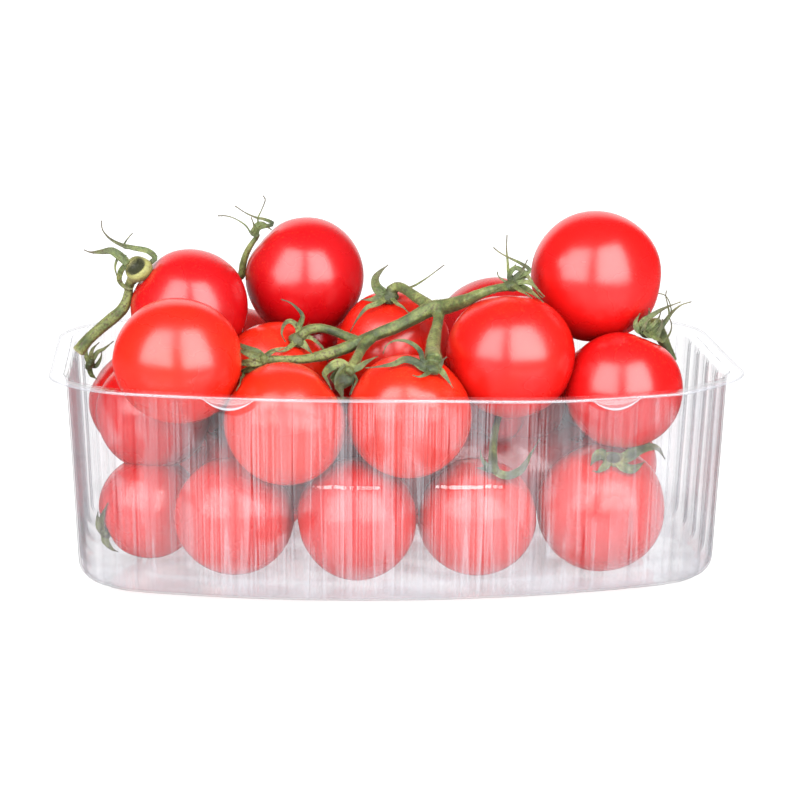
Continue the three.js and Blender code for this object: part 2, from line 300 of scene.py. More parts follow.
def addCamera(settings):
    place = Vector(settings["place"])
    ahead = (Vector(settings["target"]) - place).normalized()
    right = ahead.cross(Vector((0, 0, 1))).normalized()
    up = right.cross(ahead)
    roll = math.radians(settings["roll"])
    rolledRight = right * math.cos(roll) + up * math.sin(roll)
    rolledUp = up * math.cos(roll) - right * math.sin(roll)
    data = bpy.data.cameras.new("camera")
    data.lens = settings["lens"]
    data.sensor_width = settings["sensor"]
    data.clip_start = 0.01
    data.clip_end = 50.0
    camera = bpy.data.objects.new("camera", data)
    axes = Matrix((rolledRight, rolledUp, -ahead)).transposed().to_4x4()
    camera.matrix_world = Matrix.Translation(place * mm) @ axes
    scene.collection.objects.link(camera)
    scene.camera = camera


addCamera(cameraSettings)
print("stage 2: the camera is set")


# Studio: two large soft boxes in front, a bright background and a white table
studioSettings = {
    "boxes": [  # middle, width and height, aimed at, brightness
        {"place": (-310, -322, 408), "size": (445, 660), "aim": (-220, -144, 398), "glow": 6.7},
        {"place": (215, -365, 405), "size": (440, 660), "aim": (157, -174, 395), "glow": 7.6},
    ],
    "underlight": {"place": (0, 0, -0.1), "size": (1400, 1400), "aim": (0, 0, 100), "glow": 1.5},
    "fill": 0.9,  # brightness of the room for soft light
    "roomMirrored": 0.03,  # and as it mirrors in glossy skins
    "backMirrored": 1.3,
    "backFrom": (0.82, 0.94),  # where the bright background starts, as a ray's share towards the back
    "background": 1.02,
    "tableRadius": 1300,
    "tableDrop": 0.15,
    "tableWhite": 0.05,
    "tableGlow": 0.9,
    "tableMirrored": 0.08,  # the table's glow as glossy skins mirror it
    "tableRoughness": 0.3,
}


def addSoftBox(settings, name, mirrors=True):
    data = bpy.data.lights.new(name, "AREA")
    data.shape = "RECTANGLE"
    data.size, data.size_y = (side * mm for side in settings["size"])
    data.energy = settings["glow"] * math.pi * data.size * data.size_y
    box = bpy.data.objects.new(name, data)
    place = Vector(settings["place"]) * mm
    aim = Vector(settings["aim"]) * mm
    box.location = place
    box.rotation_euler = (aim - place).to_track_quat("-Z", "Y").to_euler()
    box.visible_camera = False
    box.visible_glossy = mirrors
    scene.collection.objects.link(box)


def addWorld(settings):
    world = bpy.data.worlds.new("studio")
    world.use_nodes = True
    tree = world.node_tree
    tree.nodes.clear()
    way = partsOf(tree, put(tree, "ShaderNodeTexCoord").outputs["Generated"])
    backMin, backMax = settings["backFrom"]
    towardsBack = remap(tree, total(tree, way["Y"], product(tree, way["Z"], 0.2)), backMin, backMax,
                        settings["roomMirrored"], settings["backMirrored"], "SMOOTHSTEP")
    ray = put(tree, "ShaderNodeLightPath").outputs
    soft = put(tree, "ShaderNodeMix", {
        0: ray["Is Diffuse Ray"], 2: towardsBack, 3: settings["fill"]}, data_type="FLOAT")
    seen = product(tree, ray["Is Camera Ray"], settings["background"])
    strength = math2(tree, "MAXIMUM", soft.outputs[0], seen)
    glow = put(tree, "ShaderNodeBackground", {"Color": (1, 1, 1, 1), "Strength": strength})
    put(tree, "ShaderNodeOutputWorld", {"Surface": glow.outputs[0]})
    scene.world = world


def tableMaterial(settings):
    material, tree = freshMaterial("whiteTable")
    middle, spread = settings["tableRoughness"], 0.03
    grain = noiseOf(tree, objectSpots(tree), 40.0, 4.0)
    roughness = remap(tree, grain, 0.3, 0.7, middle - spread, middle + spread)
    white = settings["tableWhite"]
    ray = put(tree, "ShaderNodeLightPath").outputs
    glow = remap(tree, ray["Is Glossy Ray"], 0.0, 1.0, settings["tableGlow"], settings["tableMirrored"])
    surface = put(tree, "ShaderNodeBsdfPrincipled", {
        "Base Color": (white, white, white, 1), "Roughness": roughness,
        "Emission Color": (1, 1, 1, 1), "Emission Strength": glow})
    finishMaterial(tree, surface.outputs[0])
    return material


def addTable(settings):
    radius, low = settings["tableRadius"] * mm, -settings["tableDrop"] * mm
    turns = np.linspace(0, 2 * math.pi, 96, endpoint=False)
    edge = [(radius * math.cos(turn), radius * math.sin(turn), low) for turn in turns]
    mesh = meshOf("table", edge, [range(len(edge))])
    mesh.materials.append(tableMaterial(settings))
    objectOf("table", mesh)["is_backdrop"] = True


for number, box in enumerate(studioSettings["boxes"]):
    addSoftBox(box, f"softBox{number}")
addSoftBox(studioSettings["underlight"], "underlight", mirrors=False)
addWorld(studioSettings)
addTable(studioSettings)
scene.view_settings.view_transform = "Standard"
scene.view_settings.look = "None"
scene.cycles.transparent_max_bounces = 24
scene.cycles.max_bounces = 6
scene.cycles.diffuse_bounces = 2
scene.cycles.glossy_bounces = 3
print("stage 3: the studio is lit")


# The punnet, a sheet formed round the rim's outline
lowest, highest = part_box("tray")
traySettings = {
    "length": (highest.x - lowest.x) / mm,
    "depth": 137.0,  # over the rim, at the middle of the bowed long sides
    "height": highest.z / mm,
    "skin": 0.5,
    "flange": 4.5,
    "cornerRadius": 32.0,
    "bowAngle": 18.0,
    "draft": 2.7,
    "footRadius": 4.4,
    "stations": 720,
    "fluteCount": 40,
    "fluteDepth": 0.8,
    "fluteWidth": 4.6,
    "fluteSide": 1.5,  # width of the slope at each side of a flute
    "lineDepth": 0.1,  # the fine lines drawn down the walls as the sheet was formed
    "lineSpacing": 1.7,
    "dips": (-46.4, 54.1),  # tabs under the front rim's edge, and turned half round under the back rim's
    "dipWidth": 13.2,
    "dipDepth": 2.75,
    "lip": 0.25,  # how far the flange's edge turns down
    "warp": 1.15,  # how much higher the long rim's left half stands, as formed plastic does
    "warpFalls": (-4.0, 46.0, 1.08),  # from and to where it falls, and by what share
    "warpRises": (70.0, 84.0, 0.8),  # and rises again, at the right end
    "warpFront": (15.0, 50.0),  # how far towards the front the warp starts and is full
    "padX": 16.0,
    "padWidth": 18.0,
    "padBottom": 31.0,
    "padDepth": 0.42,
    "padEdge": 1.3,
    "wallStep": 2.2,  # between the rings of points up the wall, with closer ones at the pads' lower edge
    "padRings": (28.8, 29.8, 30.4, 30.8, 31.2, 31.6, 32.2, 33.4, 35.6),
    "upperRings": 38.0,
    "upperStep": 2.3,
    "outerBend": 0.7,  # radius of the bend from the wall into the flange
    "innerBend": 1.2,
    "panelInset": 24.0,
    "panelRise": 0.6,
    "wobble": 0.16,  # the walls' slow unevenness, its size along and up the wall, and where it is full
    "wobbleSize": (22, 26),
    "wobbleFull": 20,
    "tabStart": 0.6,  # drop at which a tab's edge shows in full
    # a tab's edge takes more of the rim's haze, a painted highlight of its bead
    "tabHighlightHaze": 1.2,  # its haze, against the rest of the rim's
    "seed": 4,
}


def rimStretches(s):
    # Length of each stretch of the rim's outline, and its point and outward angle at a share of that length
    corner, bow = s["cornerRadius"], math.radians(s["bowAngle"])
    cornerX = s["length"] / 2 - corner
    bowRadius = cornerX / math.sin(bow) + corner
    bowY = s["depth"] / 2 - bowRadius
    cornerY = bowY + (bowRadius - corner) * math.cos(bow)
    turn = math.pi / 2 - bow

    def arc(x, y, radius, first, last):
        def at(share):
            angle = first + (last - first) * share
            return x + radius * math.cos(angle), y + radius * math.sin(angle), angle
        return radius * (last - first), at

    def end(side, angle):
        return 2 * cornerY, lambda share: (side * s["length"] / 2, side * cornerY * (2 * share - 1), angle)

    stretches = []
    for side, start in ((1, 0.0), (-1, math.pi)):
        stretches += [
            end(side, start),
            arc(side * cornerX, side * cornerY, corner, start, start + turn),
            arc(0, side * bowY, bowRadius, start + turn, start + math.pi - turn),
            arc(-side * cornerX, side * cornerY, corner, start + math.pi - turn, start + math.pi),
        ]
    return stretches


def rimPoints(s):
    stretches = rimStretches(s)
    girth = sum(length for length, _ in stretches)
    points = []
    for i in range(s["stations"]):
        distance = left = girth * i / s["stations"]
        for length, at in stretches:
            if left <= length:
                points.append((distance, *at(left / length)))
                break
            left -= length
    return girth, points


def trayRings(s):
    # From the middle of the floor's underside out and up to the lip, then back down inside. Each ring is
    # its inset from the rim, height, shares of the flutes and tabs, size against the outline, and rim's haze,
    # which paints the highlight of the rim's edge.
    top, skin, flange, foot = s["height"], s["skin"], s["flange"], s["footRadius"]
    footStart = flange + s["draft"] * (top - foot) / top + foot
    heights = [foot + s["wallStep"] * i for i in range(1, 10)] + [*s["padRings"]]
    heights += [s["upperRings"] + s["upperStep"] * i for i in range(7)]
    fluted = [(z, 1) for z in heights] + [(53.0, 0.6), (53.8, 0.2)]

    def side(offset, rise):
        panel, raised = s["panelInset"] + offset, s["panelRise"]
        found = [(panel + 1.2, rise + raised, 0, 0, size, 0) for size in (0.001, 0.35, 0.7, 1.0)]
        slope = [(panel + 0.7, rise + 0.9 * raised), (panel + 0.1, rise + 0.1 * raised), (panel - 0.5, rise),
                 (panel - 3.5, rise), (footStart + 2.5, rise)]
        found += [(inset, z, 0, 0, 1, 0) for inset, z in slope]
        for step in range(9):  # round the foot
            angle = math.pi / 2 * (1 - step / 8)
            out, down = (foot - offset) * math.cos(angle), (foot - offset) * math.sin(angle)
            found.append((footStart - out, foot - down, math.cos(angle), 0, 1, 0))
        found += [(flange + s["draft"] * (top - z) / top + offset, z, share, 0, 1, 0) for z, share in fluted]
        return found

    def bend(inset, height, radius):
        angles = [math.pi / 2 * step / 3 for step in range(4)]
        return [(inset - radius * (1 - math.cos(angle)), height - radius * (1 - math.sin(angle)), 0, 0, 1, 0)
                for angle in angles]

    under = top - skin
    tab = under - s["lip"]
    edge = [(3.0, under, 0, 0), (1.6, under, 0, 0.1), (0.8, under, 0, 0.5), (0.55, under - 0.05, 0.06, 0.6),
            (0.5, tab + 0.12, 0.78, 0.6), (0.5, tab + 0.1, 0.84, 1), (0.45, tab + 0.03, 1, 1),
            (0.3, tab, 1, 1), (0.15, tab, 1, 1), (0.03, tab + 0.05, 1, 1), (0.0, tab + 0.12, 0.84, 1),
            (0.0, tab + 0.14, 0.78, 0.6), (0.0, top - 0.45, 0.04, 0.6), (0.0, top - 0.4, 0, 1),
            (0.05, top - 0.12, 0, 1), (0.22, top, 0, 1), (0.5, top, 0, 0.6), (1.2, top, 0, 0.1),
            (2.0, top, 0, 0), (3.0, top, 0, 0), (4.0, top, 0, 0)]
    edge = [(inset, z, 0, dip, 1, haze) for inset, z, dip, haze in edge]
    outer = side(0.0, 0.0) + bend(flange, under, s["outerBend"])
    inner = side(skin, skin) + bend(flange + skin, top, s["innerBend"])
    return outer + edge + inner[::-1]


def dipAt(s, distance, girth, middles):
    off = min(abs((distance - middle + girth / 2) % girth - girth / 2) for middle in middles)
    reach = 2 * off / s["dipWidth"]
    return s["dipDepth"] * (1 - reach * reach) if reach < 1 else 0.0


def padShare(s, x, y, z):
    # How far a spot of a long wall lies inside a pad, from 0 outside to 1
    edge = s["padEdge"]
    across = smoothStep(s["padWidth"] / 2 - abs(abs(x) - s["padX"]), -edge / 2, edge / 2)
    up = smoothStep(z - s["padBottom"], -edge / 2, edge / 2) * smoothStep(s["height"] - 0.4 - z, 0, edge)
    return across * up if abs(y) > s["depth"] / 4 else 0.0


def warpAt(s, x, y):
    # The front rim's lift at a spot: high to the left, level to the right, high again at the corner
    falls, rises = (part * smoothStep(x, low, high) for low, high, part in (s["warpFalls"], s["warpRises"]))
    return s["warp"] * (1 - falls + rises) * smoothStep(-y, *s["warpFront"])


def trayMesh(s):
    girth, points = rimPoints(s)
    corner = s["cornerRadius"]
    bowRadius = (s["length"] / 2 - corner) / math.sin(math.radians(s["bowAngle"])) + corner
    firstLength = rimStretches(s)[0][0]
    sideMiddle = firstLength / 2 + girth / 4
    middles = [sideMiddle + bowRadius * math.asin(x / bowRadius) + half * girth / 2
               for x in s["dips"] for half in (0, 1)]
    rings = trayRings(s)
    alongSize, upSize = s["wobbleSize"]
    vertices, along, share, inward, rimHighlight, drop = [], [], [], [], [], []
    for inset, z, flute, dip, size, edgeHighlight in rings:
        for distance, x, y, angle in points:
            nx, ny = math.cos(angle), math.sin(angle)
            uneven = noise.noise(Vector((distance / alongSize, z / upSize, 1.7)))
            bend = s["wobble"] * uneven * min(1.0, z / s["wobbleFull"]) * (inset > 3)
            pressed = inset + bend + s["padDepth"] * padShare(s, x - nx * inset, y, z) * (flute > 0)
            low = dipAt(s, distance, girth, middles)
            tabbed = min(1.0, low / s["tabStart"]) if dip else 0.0
            up = z - dip * low + warpAt(s, x, y) * z / s["height"]
            vertices.append(((x - nx * pressed) * size * mm, (y - ny * pressed) * size * mm, up * mm))
            along.append(distance * mm)
            share.append(flute)
            # the rim's haze, a painted highlight of its edge, runs in full along a tab's edge
            rimHighlight.append((1 - (1 - edgeHighlight) * tabbed) * (1 + (s["tabHighlightHaze"] - 1) * tabbed) if dip else edgeHighlight)
            drop.append(low * mm)
            inward.append((-nx, -ny, 0))
    mesh = meshOf("tray", vertices, ringFaces(len(rings), len(points)))
    for name, values in (("along", along), ("fluteShare", share), ("rimShare", rimHighlight), ("tabDrop", drop)):
        setAttribute(mesh, name, values)
    setAttribute(mesh, "inward", inward, "FLOAT_VECTOR")
    return mesh, girth


def fluteTree():
    # Presses the flutes and the fine drawn lines into both faces of the sheet
    tree, inputs = nodeTree("trayFlutes", [
        ("Girth", "Float"), ("Flute Count", "Int"), ("Flute Depth", "Float"), ("Flute Width", "Float"),
        ("Flute Side", "Float"), ("Line Depth", "Float"), ("Line Spacing", "Float"), ("Seed", "Int"),
        ("Plastic", "Material")])
    along = namedAttribute(tree, "along", "FLOAT")
    share = namedAttribute(tree, "fluteShare", "FLOAT")
    inward = namedAttribute(tree, "inward", "FLOAT_VECTOR")
    halfSpan = product(tree, math2(tree, "DIVIDE", inputs["Girth"], inputs["Flute Count"]), 0.5)
    offMiddle = math2(tree, "SUBTRACT", halfSpan, math2(tree, "PINGPONG", along, halfSpan))
    halfWidth = product(tree, inputs["Flute Width"], 0.5)
    full = math2(tree, "SUBTRACT", halfWidth, inputs["Flute Side"])
    groove = remap(tree, offMiddle, halfWidth, full, course="SMOOTHSTEP")
    shifted = total(tree, math2(tree, "DIVIDE", along, inputs["Line Spacing"]), inputs["Seed"])
    lines = put(tree, "ShaderNodeTexNoise", {"W": shifted, "Scale": 1.0, "Detail": 2.0},
                noise_dimensions="1D")
    centred = math2(tree, "SUBTRACT", lines.outputs[0], 0.5)
    drawn = product(tree, centred, 2.0, inputs["Line Depth"])
    depth = product(tree, total(tree, product(tree, groove, inputs["Flute Depth"]), drawn), share)
    moved = put(tree, "GeometryNodeSetPosition", {
        "Geometry": inputs["Geometry"], "Offset": vectorScaled(tree, inward, depth)})
    smooth = put(tree, "GeometryNodeSetShadeSmooth", {"Geometry": moved.outputs[0]})
    endTree(tree, smooth.outputs[0], inputs["Plastic"])
    return tree


plasticSettings = {
    "haze": 0.098,  # share of light that each face scatters
    "hazeWhite": (0.325, 0.33, 0.355, 1),
    # more white haze along the rim's edge, a painted highlight
    "rimHighlightHaze": 0.31,
    "footHaze": 0.16,
    "foot": (11.0, 1.0),  # the foot's haze starts and is full at these heights
    "endHaze": 0.4,  # share of the haze on the two end walls
    "endFrom": (78.0, 90.0),  # off the middle, where the end walls start and are reached
    "hazeTop": 38.0,  # above this height the haze has more clear patches
    "clearPatch": 0.35,  # share of the haze in a clear patch
    "wetPatch": 15.0,  # size of the patches
    "evenHaze": 0.58,  # share of the haze between the drawn lines
    "facing": 0.042,  # share that each face mirrors when seen square on, and from its edge
    "edgeOn": 0.5,
    "roughness": 0.05,
    "fineLine": 0.45,  # spacings of the lines and bands drawn down the walls
    "band": 2.6,
    "cluster": 11.0,
    # the thin dark lines paint shade and the pale ones paint highlights, where the sheet bends the light
    "shadeLine": 3.3,
    "highlightLine": 4.6,
    # the painted shade that the dark lines lay on the light passing through
    "lineShadeTint": (0.62, 0.60, 0.65, 1),
    "tints": [(0.0, (0.99, 0.99, 0.993)), (0.7, (0.975, 0.975, 0.98)), (0.9, (0.94, 0.94, 0.95)),
              (1.0, (0.62, 0.62, 0.65))],  # of the light that passes, from square on to edge on
    "tabBottom": 54.2,  # height of the walls behind the tabs' lower edge, where a tab has no drop
}


def drawnNoise(tree, along, height, spacing, detail, drift):
    # Noise that runs down the wall, and changes slowly with the height
    spots = put(tree, "ShaderNodeCombineXYZ", {
        "X": math2(tree, "DIVIDE", along, spacing * mm), "Y": math2(tree, "DIVIDE", height, drift * mm)})
    node = put(tree, "ShaderNodeTexNoise", {"Vector": spots.outputs[0], "Scale": 1.0, "Detail": detail},
               noise_dimensions="2D")
    return node.outputs["Fac"]


def drawnLine(tree, along, height, spacing, width):
    # A thin line wherever the noise crosses its middle
    crossing = drawnNoise(tree, along, height, spacing, 0.0, 220.0)
    away = math2(tree, "ABSOLUTE", math2(tree, "SUBTRACT", crossing, 0.5), 0.0)
    return remap(tree, away, 0.4 * width, width, 1.0, 0.0)


def clearPlastic(s):
    material, tree = freshMaterial("clearPlastic")
    along, wall = attributeOf(tree, "along"), attributeOf(tree, "fluteShare")
    rimHighlight, drop = attributeOf(tree, "rimShare"), attributeOf(tree, "tabDrop")
    spots = objectSpots(tree)
    parts = partsOf(tree, spots)
    height = parts["Z"]
    fine = drawnNoise(tree, along, height, s["fineLine"], 0.0, 240.0)
    band = drawnNoise(tree, along, height, s["band"], 1.0, 70.0)
    cluster = drawnNoise(tree, along, height, s["cluster"], 0.0, 110.0)
    wet = noiseOf(tree, spots, 1000 / s["wetPatch"], 1.0)

    # The drawn lines: pale ones in clusters, wider bands, clear ones and thin dark ones. They are partly real
    # lines in the sheet and partly painted light: the pale ones paint highlights and the dark ones paint
    # shade, where the sheet bends the light.
    clustered = remap(tree, cluster, 0.40, 0.60, 0.15, 1.0)
    bright = product(tree, remap(tree, fine, 0.60, 0.66, 0.0, 0.6), clustered)
    bright = math2(tree, "MAXIMUM", bright, drawnLine(tree, along, height, s["highlightLine"], 0.022))
    dark = product(tree, drawnLine(tree, along, height, s["shadeLine"], 0.016), wall)
    banded = product(tree, remap(tree, band, 0.50, 0.515), remap(tree, cluster, 0.35, 0.6, 0.4, 1.0))
    clear = product(tree, remap(tree, fine, 0.36, 0.32), clustered)
    lines = total(tree, product(tree, bright, 0.9), product(tree, banded, 0.8))
    lines = total(tree, product(tree, lines, wall), s["evenHaze"])
    lines = product(tree, lines, lessened(tree, dark, 0.7), lessened(tree, clear, 0.75))

    # Less haze at the ends, in the clear patches and just under each tab, where it paints a dark line; more
    # at the foot, and at the rim, where it paints the edge's highlight
    endMin, endMax = s["endFrom"]
    offMiddle = math2(tree, "ABSOLUTE", parts["X"], 0.0)
    ends = remap(tree, offMiddle, endMin * mm, endMax * mm, 1.0, s["endHaze"])
    lower = remap(tree, height, 0.056, 0.012, 0.9, 1.15)
    risen = math2(tree, "MAXIMUM", math2(tree, "SUBTRACT", height, s["hazeTop"] * mm), 0.0)
    dryness = math2(tree, "SUBTRACT", wet, product(tree, risen, 3.0))
    dry = remap(tree, dryness, 0.32, 0.40, s["clearPatch"], 1.0)
    under = total(tree, height, drop, -s["tabBottom"] * mm)
    # painted shade: a clear band just under each tab, where the red behind shows darker as a line under the
    # bead
    tabShadeBand = product(tree, remap(tree, under, -0.0013, -0.0011), remap(tree, drop, 0.0, 0.0004))
    haze = product(tree, lines, lower, dry, ends, lessened(tree, tabShadeBand, 0.8), s["haze"])
    footTop, footFull = s["foot"]
    foot = remap(tree, height, footTop * mm, footFull * mm, 0.0, s["footHaze"])
    patchy = product(tree, foot, remap(tree, wet, 0.4, 0.6, 0.4, 1.4))
    # painted highlight: more white haze along the rim's edge and the tabs' edges
    rimHighlightHaze = product(tree, math2(tree, "POWER", rimHighlight, 3.0), s["rimHighlightHaze"])
    haze = math2(tree, "ADD", total(tree, haze, patchy), rimHighlightHaze, clamp=True)

    relief = total(tree, product(tree, fine, 0.5), product(tree, band, 1.6))
    bump = bumpOf(tree, product(tree, relief, wall), 0.5, 0.0002)
    facing = put(tree, "ShaderNodeLayerWeight", {"Blend": 0.5, "Normal": bump}).outputs["Facing"]
    mirrored = remap(tree, math2(tree, "POWER", facing, 5.0), 0.0, 1.0, s["facing"], s["edgeOn"])
    # painted shade: the dark lines darken the light that passes, more higher up
    lineShade = product(tree, dark, remap(tree, height, 0.008, 0.03, 0.1, 0.3))
    tint = blendColours(tree, lineShade, ramp(tree, facing, s["tints"]), s["lineShadeTint"])
    through = put(tree, "ShaderNodeBsdfTransparent", {"Color": tint})
    scattered = put(tree, "ShaderNodeBsdfDiffuse", {"Color": s["hazeWhite"], "Normal": bump})
    milky = put(tree, "ShaderNodeMixShader", {"Fac": haze, 1: through.outputs[0], 2: scattered.outputs[0]})
    gloss = put(tree, "ShaderNodeBsdfGlossy", {
        "Color": (1, 1, 1, 1), "Roughness": s["roughness"], "Normal": bump})
    surface = put(tree, "ShaderNodeMixShader", {"Fac": mirrored, 1: milky.outputs[0], 2: gloss.outputs[0]})
    finishMaterial(tree, surface.outputs[0])
    return material


def makeTray(s):
    mesh, girth = trayMesh(s)
    thing = objectOf("trayForm", mesh)
    growNodes(thing, fluteTree(), {
        "Girth": girth * mm, "Flute Count": s["fluteCount"], "Flute Depth": s["fluteDepth"] * mm,
        "Flute Width": s["fluteWidth"] * mm, "Flute Side": s["fluteSide"] * mm,
        "Line Depth": s["lineDepth"] * mm, "Line Spacing": s["lineSpacing"] * mm, "Seed": s["seed"],
        "Plastic": clearPlastic(plasticSettings)})
    finishedPiece("punnetShell", settled(thing, "punnetShell"), "tray")


makeTray(traySettings)
print("stage 4: the punnet is formed")


# The tomatoes. Middle and radius of each; those of the bottom layer lie on the floor, with a small gap.
floorGap = 0.3
floorTop = traySettings["skin"] + traySettings["panelRise"] + floorGap
bottomLayer = {
    "B1": (-67.3, -15.3, 14.1), "B2": (-44.5, -34, 16.1), "B3": (-12, -40, 16.4), "B4": (20.5, -38, 16),
    "B5": (54.5, -35, 17.3), "R1": (-59.5, 36, 14), "R2": (-31, 42, 15.8), "R3": (2, 44, 16.3),
    "R4": (35, 41, 16.4), "R5": (64, 26, 15.6), "H1": (-38, 3, 15.8), "H2": (-5, 3, 15.8),
    "H3": (24, 7, 15.8), "H4": (60, -5, 13),
}
upperLayers = {
    "M0": (-70, 18, 38, 15), "M1": (-66, -12.4, 41.4, 15.8), "M2": (-31, -42.8, 44.5, 16.4),
    "M3": (1.5, -44.2, 46.5, 16.4), "M5": (59.4, -37.8, 51.9, 15.8), "N4": (62, 2, 42.5, 15.5),
    "C2": (33, -8, 42.5, 15), "N1": (-42, 35, 46, 15.8), "N2": (-10, 37, 47, 16), "S3": (-45, 9, 38, 13.5),
    "S4": (-19, 11, 41, 13), "S1": (11, 14, 37.5, 15), "T1": (-59, -39, 61, 16.6),
    "T2": (-56, -7, 69.2, 16.2), "T3": (-24, 8, 75.1, 16.8), "T4": (-33, -14, 52, 14.5),
    "T5": (0, -8, 58.5, 15.8), "T7": (29.2, -36.3, 61.2, 17.3), "T8": (53.8, -21.5, 79.9, 17.8),
    "T6": (32.7, 33, 53.5, 17.3),
}
tomatoSettings = {
    "rings": 30,
    "sides": 48,
    "dimple": 0.06,  # depth of the hollow at the stem, against the radius
    "dimpleWidth": 0.33,
    "nub": 0.02,  # and of the small point at the other end
    "nubWidth": 0.09,
    "lobes": 0.007,
    "unevenness": 0.014,
    "heights": (0.975, 0.99, 0.96, 1.0, 1.03),  # of the forms, against their width
    "longOnes": {"T1": 4},  # the tomatoes with a form of their own
    "seed": 21,
    "ripe": {"T1": 0.22, "M2": 0.1, "M3": 0.12, "T4": 0.05, "T5": 0.3, "T7": 0.45, "T2": 0.95, "T3": 1.0,
        "T8": 0.6, "M5": 0.7, "M1": 0.7, "M0": 0.8, "B1": 0.5, "B2": 0.45, "B3": 0.5, "B4": 0.4, "B5": 0.45,
        "T6": 0.9},
}
tomatoes = {name: (x, y, floorTop + radius, radius) for name, (x, y, radius) in bottomLayer.items()}
tomatoes.update(upperLayers)


def tomatoForm(name, s, height, phase):
    vertices, faces, crown = [], [], []
    rings, sides = s["rings"], s["sides"]
    for ring in range(rings + 1):
        angle = math.pi * ring / rings
        out, up = math.sin(angle), math.cos(angle)
        hollow = s["dimple"] * math.exp(-(angle / s["dimpleWidth"]) ** 2)
        nub = s["nub"] * math.exp(-((math.pi - angle) / s["nubWidth"]) ** 2)
        for side in range(sides if 0 < ring < rings else 1):
            turn = 2 * math.pi * side / sides
            way = Vector((out * math.cos(turn), out * math.sin(turn), up))
            lobe = s["lobes"] * math.cos(5 * turn + phase) * out * (1 + up)
            lump = s["unevenness"] * noise.noise(way * 1.3 + Vector((phase, 0, 0)))
            radius = 1 + lobe + lump
            vertices.append((radius * way.x, radius * way.y, height * radius * up - hollow - nub))
            crown.append(up)
    last = len(vertices) - 1
    for side in range(sides):
        after = (side + 1) % sides
        faces.append((0, 1 + side, 1 + after))
        for ring in range(rings - 2):
            a, b = 1 + ring * sides, 1 + (ring + 1) * sides
            faces.append((a + side, b + side, b + after, a + after))
        final = 1 + (rings - 2) * sides
        faces.append((final + side, last, final + after))
    mesh = meshOf(name, vertices, faces)
    smoothShaded(mesh)
    setAttribute(mesh, "crown", crown)
    return mesh


def tomatoTree():
    # Sets one of the forms on each point, turned and sized by the point's own values
    tree, inputs = nodeTree("tomatoHeap", [("Forms", "Collection"), ("Skin", "Material")])
    forms = put(tree, "GeometryNodeCollectionInfo", {
        "Collection": inputs["Forms"], "Separate Children": True, "Reset Children": True})
    turn = put(tree, "FunctionNodeEulerToRotation", {"Euler": namedAttribute(tree, "turn", "FLOAT_VECTOR")})
    size = namedAttribute(tree, "size", "FLOAT")
    placed = put(tree, "GeometryNodeInstanceOnPoints", {
        "Points": inputs["Geometry"], "Instance": forms.outputs[0], "Pick Instance": True,
        "Instance Index": namedAttribute(tree, "form", "INT"), "Rotation": turn.outputs[0], "Scale": size})
    endTree(tree, placed.outputs[0], inputs["Skin"])
    return tree


tomatoSkinSettings = {
    "orange": (0.49, 0.0130, 0.0028),
    "red": (0.43, 0.0030, 0.0024),
    "deep": (0.34, 0.0010, 0.0030),
    "fleck": (0.72, 0.07, 0.02, 1),
    "pit": (0.30, 0.01, 0.005, 1),
    "roughness": 0.262,
    "shine": 1.6,
    "subsurface": 0.12,
    "glowRadius": (1.0, 0.2, 0.1),
    "glowScale": 0.003,
}


def tomatoSkin(s):
    material, tree = freshMaterial("tomatoSkin")
    ripeness, crown = attributeOf(tree, "ripeness"), attributeOf(tree, "crown")
    spots = objectSpots(tree)
    mottle = noiseOf(tree, spots, 85.0, 3.0)
    fine = noiseOf(tree, spots, 1900.0, 2.0)
    pores = cellsOf(tree, spots, 620.0)
    tone = total(tree, ripeness, product(tree, math2(tree, "SUBTRACT", mottle, 0.5), 0.5))
    tone = math2(tree, "SUBTRACT", tone, remap(tree, crown, 0.55, 1.0, 0.0, 0.12), clamp=True)
    base = ramp(tree, tone, [(0.0, s["orange"]), (0.5, s["red"]), (1.0, s["deep"])])
    flecks = product(tree, remap(tree, fine, 0.60, 0.72), remap(tree, crown, 0.2, 0.95, 0.05, 0.4))
    base = blendColours(tree, flecks, base, s["fleck"])
    pit = remap(tree, pores, 0.06, 0.14, 1.0, 0.0)
    base = blendColours(tree, product(tree, pit, 0.35), base, s["pit"])
    peel = bumpOf(tree, fine, 0.08, 0.0001)
    skin = bumpOf(tree, mottle, 0.1, 0.0005, {"Normal": peel})
    pitted = bumpOf(tree, pit, 0.25, 0.0001, {"Normal": skin}, invert=True)
    roughness = total(tree, s["roughness"], remap(tree, mottle, 0.3, 0.7, -0.02, 0.03))
    surface = put(tree, "ShaderNodeBsdfPrincipled", {
        "Base Color": base, "Roughness": roughness, "Normal": pitted, "IOR": s["shine"],
        "Subsurface Weight": s["subsurface"], "Subsurface Radius": s["glowRadius"],
        "Subsurface Scale": s["glowScale"]})
    finishMaterial(tree, surface.outputs[0])
    return material
